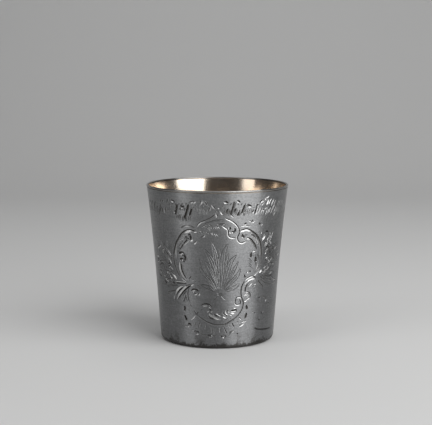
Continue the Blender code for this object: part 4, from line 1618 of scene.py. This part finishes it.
def makeSilver(name, look, withCuts=False, wraps=True):
    material, tree, shader, vector = newMaterial(name, wraps)
    clouds = useGroup(tree, cloudGroup, Vector=vector, **look["clouds"])
    mottling = useGroup(tree, cloudGroup, Vector=vector, **look["mottling"])
    specks = useGroup(tree, cloudGroup, Vector=vector, **look["speckling"])
    brushed = useGroup(tree, scratchGroup, Vector=vector, **look["brush"])
    dull = mathNode(tree, "MULTIPLY", mottling.outputs["Mask"], 0.25)
    dull = mathNode(tree, "MULTIPLY_ADD", clouds.outputs["Mask"], 0.5, dull, clamp=True)
    colour = mixColours(tree, dull, look["clean"], look["dull"])
    colour = mixColours(tree, specks.outputs["Mask"], colour, look["specks"], "MULTIPLY")
    colour = mixColours(tree, brushed.outputs["Mask"], colour, look["brushing"], "MULTIPLY")
    scratches = layScratches(tree, vector, look["scratches"])
    rough = mathNode(tree, "MULTIPLY_ADD", clouds.outputs["Mask"],
                     look["roughnessSpread"], look["roughness"])
    rough = mathNode(tree, "MULTIPLY_ADD", specks.outputs["Mask"], 0.06, rough)
    rough = mathNode(tree, "MULTIPLY_ADD", scratches, 0.06, rough)
    if withCuts:
        # the mesh says how deep in a cut a point is, and whether its side takes painted shade, with
        # some tarnish, or a painted highlight
        colour = darkenLowerWall(tree, vector, look, colour)
        cut = node(tree, "ShaderNodeAttribute", {}, attribute_name="cutShare")
        flankShading = node(tree, "ShaderNodeAttribute", {}, attribute_name="flankShadeOrHighlight")
        flank = rampBetween(tree, cut.outputs["Fac"], 0.02, 0.15)
        highlightedFlank = mathNode(tree, "MULTIPLY_ADD", flankShading.outputs["Fac"], -2.0, 1.0, clamp=True)
        shadedAndTarnished = mathNode(tree, "MULTIPLY_ADD", flankShading.outputs["Fac"], 2.0, -1.0, clamp=True)
        # painted highlight on the broad side of each cut, painted shade with tarnish on the steep side
        colour = mixColours(tree, mathNode(tree, "MULTIPLY", highlightedFlank, flank), colour, look["paintedFlankHighlight"])
        colour = mixColours(tree, mathNode(tree, "MULTIPLY", shadedAndTarnished, flank), colour, look["cutOxideAndShade"])
        # oxide that sits at the bottom of every cut
        bottom = rampBetween(tree, cut.outputs["Fac"], 0.75, 1.0, 0.0, 0.6)
        colour = mixColours(tree, bottom, colour, look["cutOxideAndShade"])
        rough = mathNode(tree, "MULTIPLY_ADD", flank, -0.08, rough)
    tree.links.new(colour, shader.inputs["Base Color"])
    tree.links.new(rough, shader.inputs["Roughness"])
    # rubbed round and round with a cloth, so lights draw out into upright bands
    tangent = node(tree, "ShaderNodeTangent", {}, direction_type="RADIAL", axis="Z")
    tree.links.new(tangent.outputs[0], shader.inputs["Tangent"])
    shader.inputs["Anisotropic"].default_value = look["drawnOut"]
    shader.inputs["Anisotropic Rotation"].default_value = 0.25
    grain = node(tree, "ShaderNodeTexNoise", {"Vector": vector, "Scale": 9.0, "Detail": 3.0})
    grainBump = node(tree, "ShaderNodeBump",
                     {"Height": grain.outputs[0], "Strength": 0.35, "Distance": look["grainBump"] * mm})
    scratchBump = node(tree, "ShaderNodeBump",
                       {"Height": scratches, "Strength": 0.6, "Distance": look["scratchBump"] * mm,
                        "Normal": grainBump.outputs[0]}, invert=True)
    tree.links.new(scratchBump.outputs[0], shader.inputs["Normal"])
    return material


giltLook = {
    "gold": (0.80, 0.64, 0.49, 1.0),
    "thin": (0.78, 0.70, 0.60, 1.0),
    "roughness": 0.13,
    "roughnessSpread": 0.09,
    "clouds": {"Size": 9.0, "Contrast": 0.7},
    "scratchBump": 0.010,
    "scratches": [
        (3, 22.0, 0.20, 0.30, 0.7),
        (-28, 10.0, 0.35, 0.20, 0.4),
        (74, 9.0, 0.35, 0.18, 0.4),
    ],
}


def makeGilt(name, look, wraps=True):
    material, tree, shader, vector = newMaterial(name, wraps)
    clouds = useGroup(tree, cloudGroup, Vector=vector, **look["clouds"])
    colour = mixColours(tree, clouds.outputs["Mask"], look["gold"], look["thin"])
    scratches = layScratches(tree, vector, look["scratches"])
    rough = mathNode(tree, "MULTIPLY_ADD", clouds.outputs["Mask"],
                     look["roughnessSpread"], look["roughness"])
    rough = mathNode(tree, "MULTIPLY_ADD", scratches, 0.05, rough)
    tree.links.new(colour, shader.inputs["Base Color"])
    tree.links.new(rough, shader.inputs["Roughness"])
    bump = node(tree, "ShaderNodeBump",
                {"Height": scratches, "Strength": 0.5, "Distance": look["scratchBump"] * mm},
                invert=True)
    tree.links.new(bump.outputs[0], shader.inputs["Normal"])
    return material


silver = makeSilver("engraved silver", silverLook, True)
lipSilver = makeSilver("worn lip silver", dict(silverLook, clean=(0.46, 0.455, 0.445, 1.0),
                                               dull=(0.30, 0.29, 0.28, 1.0), roughness=0.26))
underSilver = makeSilver("base silver", dict(silverLook, roughness=0.36), wraps=False)
solder = makeSilver("solder", dict(silverLook, clean=(0.52, 0.50, 0.46, 1.0),
                                   dull=(0.36, 0.34, 0.30, 1.0), roughness=0.38))
gilt = makeGilt("gilt inside", giltLook)
giltBase = makeGilt("gilt base", dict(giltLook, roughness=0.20), wraps=False)
print("materials made")

dressing = [
    (wall, "silver", ["wall"], [silver]),
    (lining, "gilt_silver", ["wall"], [gilt]),
    (lip, "silver", ["lip_wire"], [lipSilver]),
    (base, "gilt_silver", ["base_disc"], [giltBase, underSilver]),
    (fillet, "silver_solder", ["base_solder"], [gilt]),
    (seam, "silver_solder", ["seam_solder"], [solder]),
]
for piece, slotName, nodes, materials in dressing:
    for material in materials:
        piece.data.materials.append(material)
    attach(piece, "root")
    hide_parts(*nodes)


# Floor, backdrop, lamps and camera, in metres
stageLook = {
    "floor": (0.655, 0.655, 0.65, 1.0),
    "world": (0.05, 0.05, 0.052, 1.0),
    "halfWidth": 2.2,
    "flat": (-2.2, -0.6, 0.0),      # points on the floor, enough to keep its shading level
    "wallAt": 1.1,
    "wallTop": 1.8,
    "cove": 0.5,
    "coveSteps": 12,
}


def buildStage():
    # One sheet of paper that curves up into the backdrop
    profile = [(y, 0.0) for y in stageLook["flat"]]
    for k in range(stageLook["coveSteps"] + 1):
        angle = math.pi / 2 * k / stageLook["coveSteps"]
        profile.append((stageLook["wallAt"] - stageLook["cove"] * (1 - math.sin(angle)),
                        stageLook["cove"] * (1 - math.cos(angle))))
    profile.append((stageLook["wallAt"], stageLook["wallTop"]))
    verts, faces = [], []
    for y, z in profile:
        verts.append((-stageLook["halfWidth"], y, z))
        verts.append((stageLook["halfWidth"], y, z))
    for k in range(len(profile) - 1):
        faces.append((2 * k, 2 * k + 1, 2 * k + 3, 2 * k + 2))
    mesh = bpy.data.meshes.new("sweep")
    mesh.from_pydata(verts, [], faces)
    mesh.shade_smooth()
    sweep = addPiece("sweep", mesh)
    material = bpy.data.materials.new("pale paper")
    material.use_nodes = True
    shader = material.node_tree.nodes["Principled BSDF"]
    shader.inputs["Base Color"].default_value = stageLook["floor"]
    shader.inputs["Roughness"].default_value = 0.9
    shader.inputs["Specular IOR Level"].default_value = 0.1
    mesh.materials.append(material)


def aimAt(thing, target):
    direction = Vector(target) - thing.location
    thing.rotation_euler = direction.to_track_quat("-Z", "Y").to_euler()


# Azimuth is counted from the front, to the right; glow is how bright the lamp looks in a mirror
lamps = {
    "window right": {
        "azimuth": 49,
        "distance": 0.80,
        "height": 0.50,
        "width": 0.92,
        "tall": 1.00,
        "glow": 3.15,
    },
    "window left": {
        "azimuth": -57,
        "distance": 0.80,
        "height": 0.50,
        "width": 0.38,
        "tall": 1.00,
        "glow": 1.4,
    },
    "overhead": {
        "azimuth": 180,
        "distance": 0.05,
        "height": 1.10,
        "width": 1.20,
        "tall": 1.20,
        "glow": 1.0,
    },
}


def buildLamps():
    for name, lamp in lamps.items():
        light = bpy.data.lights.new(name, "AREA")
        light.shape = "RECTANGLE"
        light.size = lamp["width"]
        light.size_y = lamp["tall"]
        light.energy = lamp["glow"] * math.pi * lamp["width"] * lamp["tall"]
        thing = bpy.data.objects.new(name, light)
        a = math.radians(lamp["azimuth"])
        away = lamp["distance"]
        thing.location = (away * math.sin(a), -away * math.cos(a), lamp["height"])
        aimAt(thing, (0.0, 0.0, 0.05))
        bpy.context.scene.collection.objects.link(thing)


def buildWorld():
    world = bpy.data.worlds.new("grey room")
    world.use_nodes = True
    world.node_tree.nodes["Background"].inputs["Color"].default_value = stageLook["world"]
    bpy.context.scene.world = world


# Where the camera stood, found from the ellipses of the lip and the foot
photoCamera = {
    "place": (-0.00072, -0.5430, 0.1332),
    "pitch": 82.58,
    "roll": -0.07,
    "focalPixels": 1100.0,
    "pictureWidth": 432.0,
    "sensor": 36.0,
}


def buildCamera():
    camera = bpy.data.cameras.new("photograph")
    camera.sensor_width = photoCamera["sensor"]
    camera.lens = photoCamera["focalPixels"] / photoCamera["pictureWidth"] * photoCamera["sensor"]
    camera.clip_start = 0.02
    camera.clip_end = 20.0
    thing = bpy.data.objects.new("photograph", camera)
    thing.location = photoCamera["place"]
    pitch, roll = math.radians(photoCamera["pitch"]), math.radians(photoCamera["roll"])
    thing.rotation_euler = (pitch, roll, 0.0)
    bpy.context.scene.collection.objects.link(thing)
    bpy.context.scene.camera = thing


buildStage()
buildLamps()
buildWorld()
buildCamera()
bpy.context.scene.view_settings.view_transform = "Standard"
print("stage set")
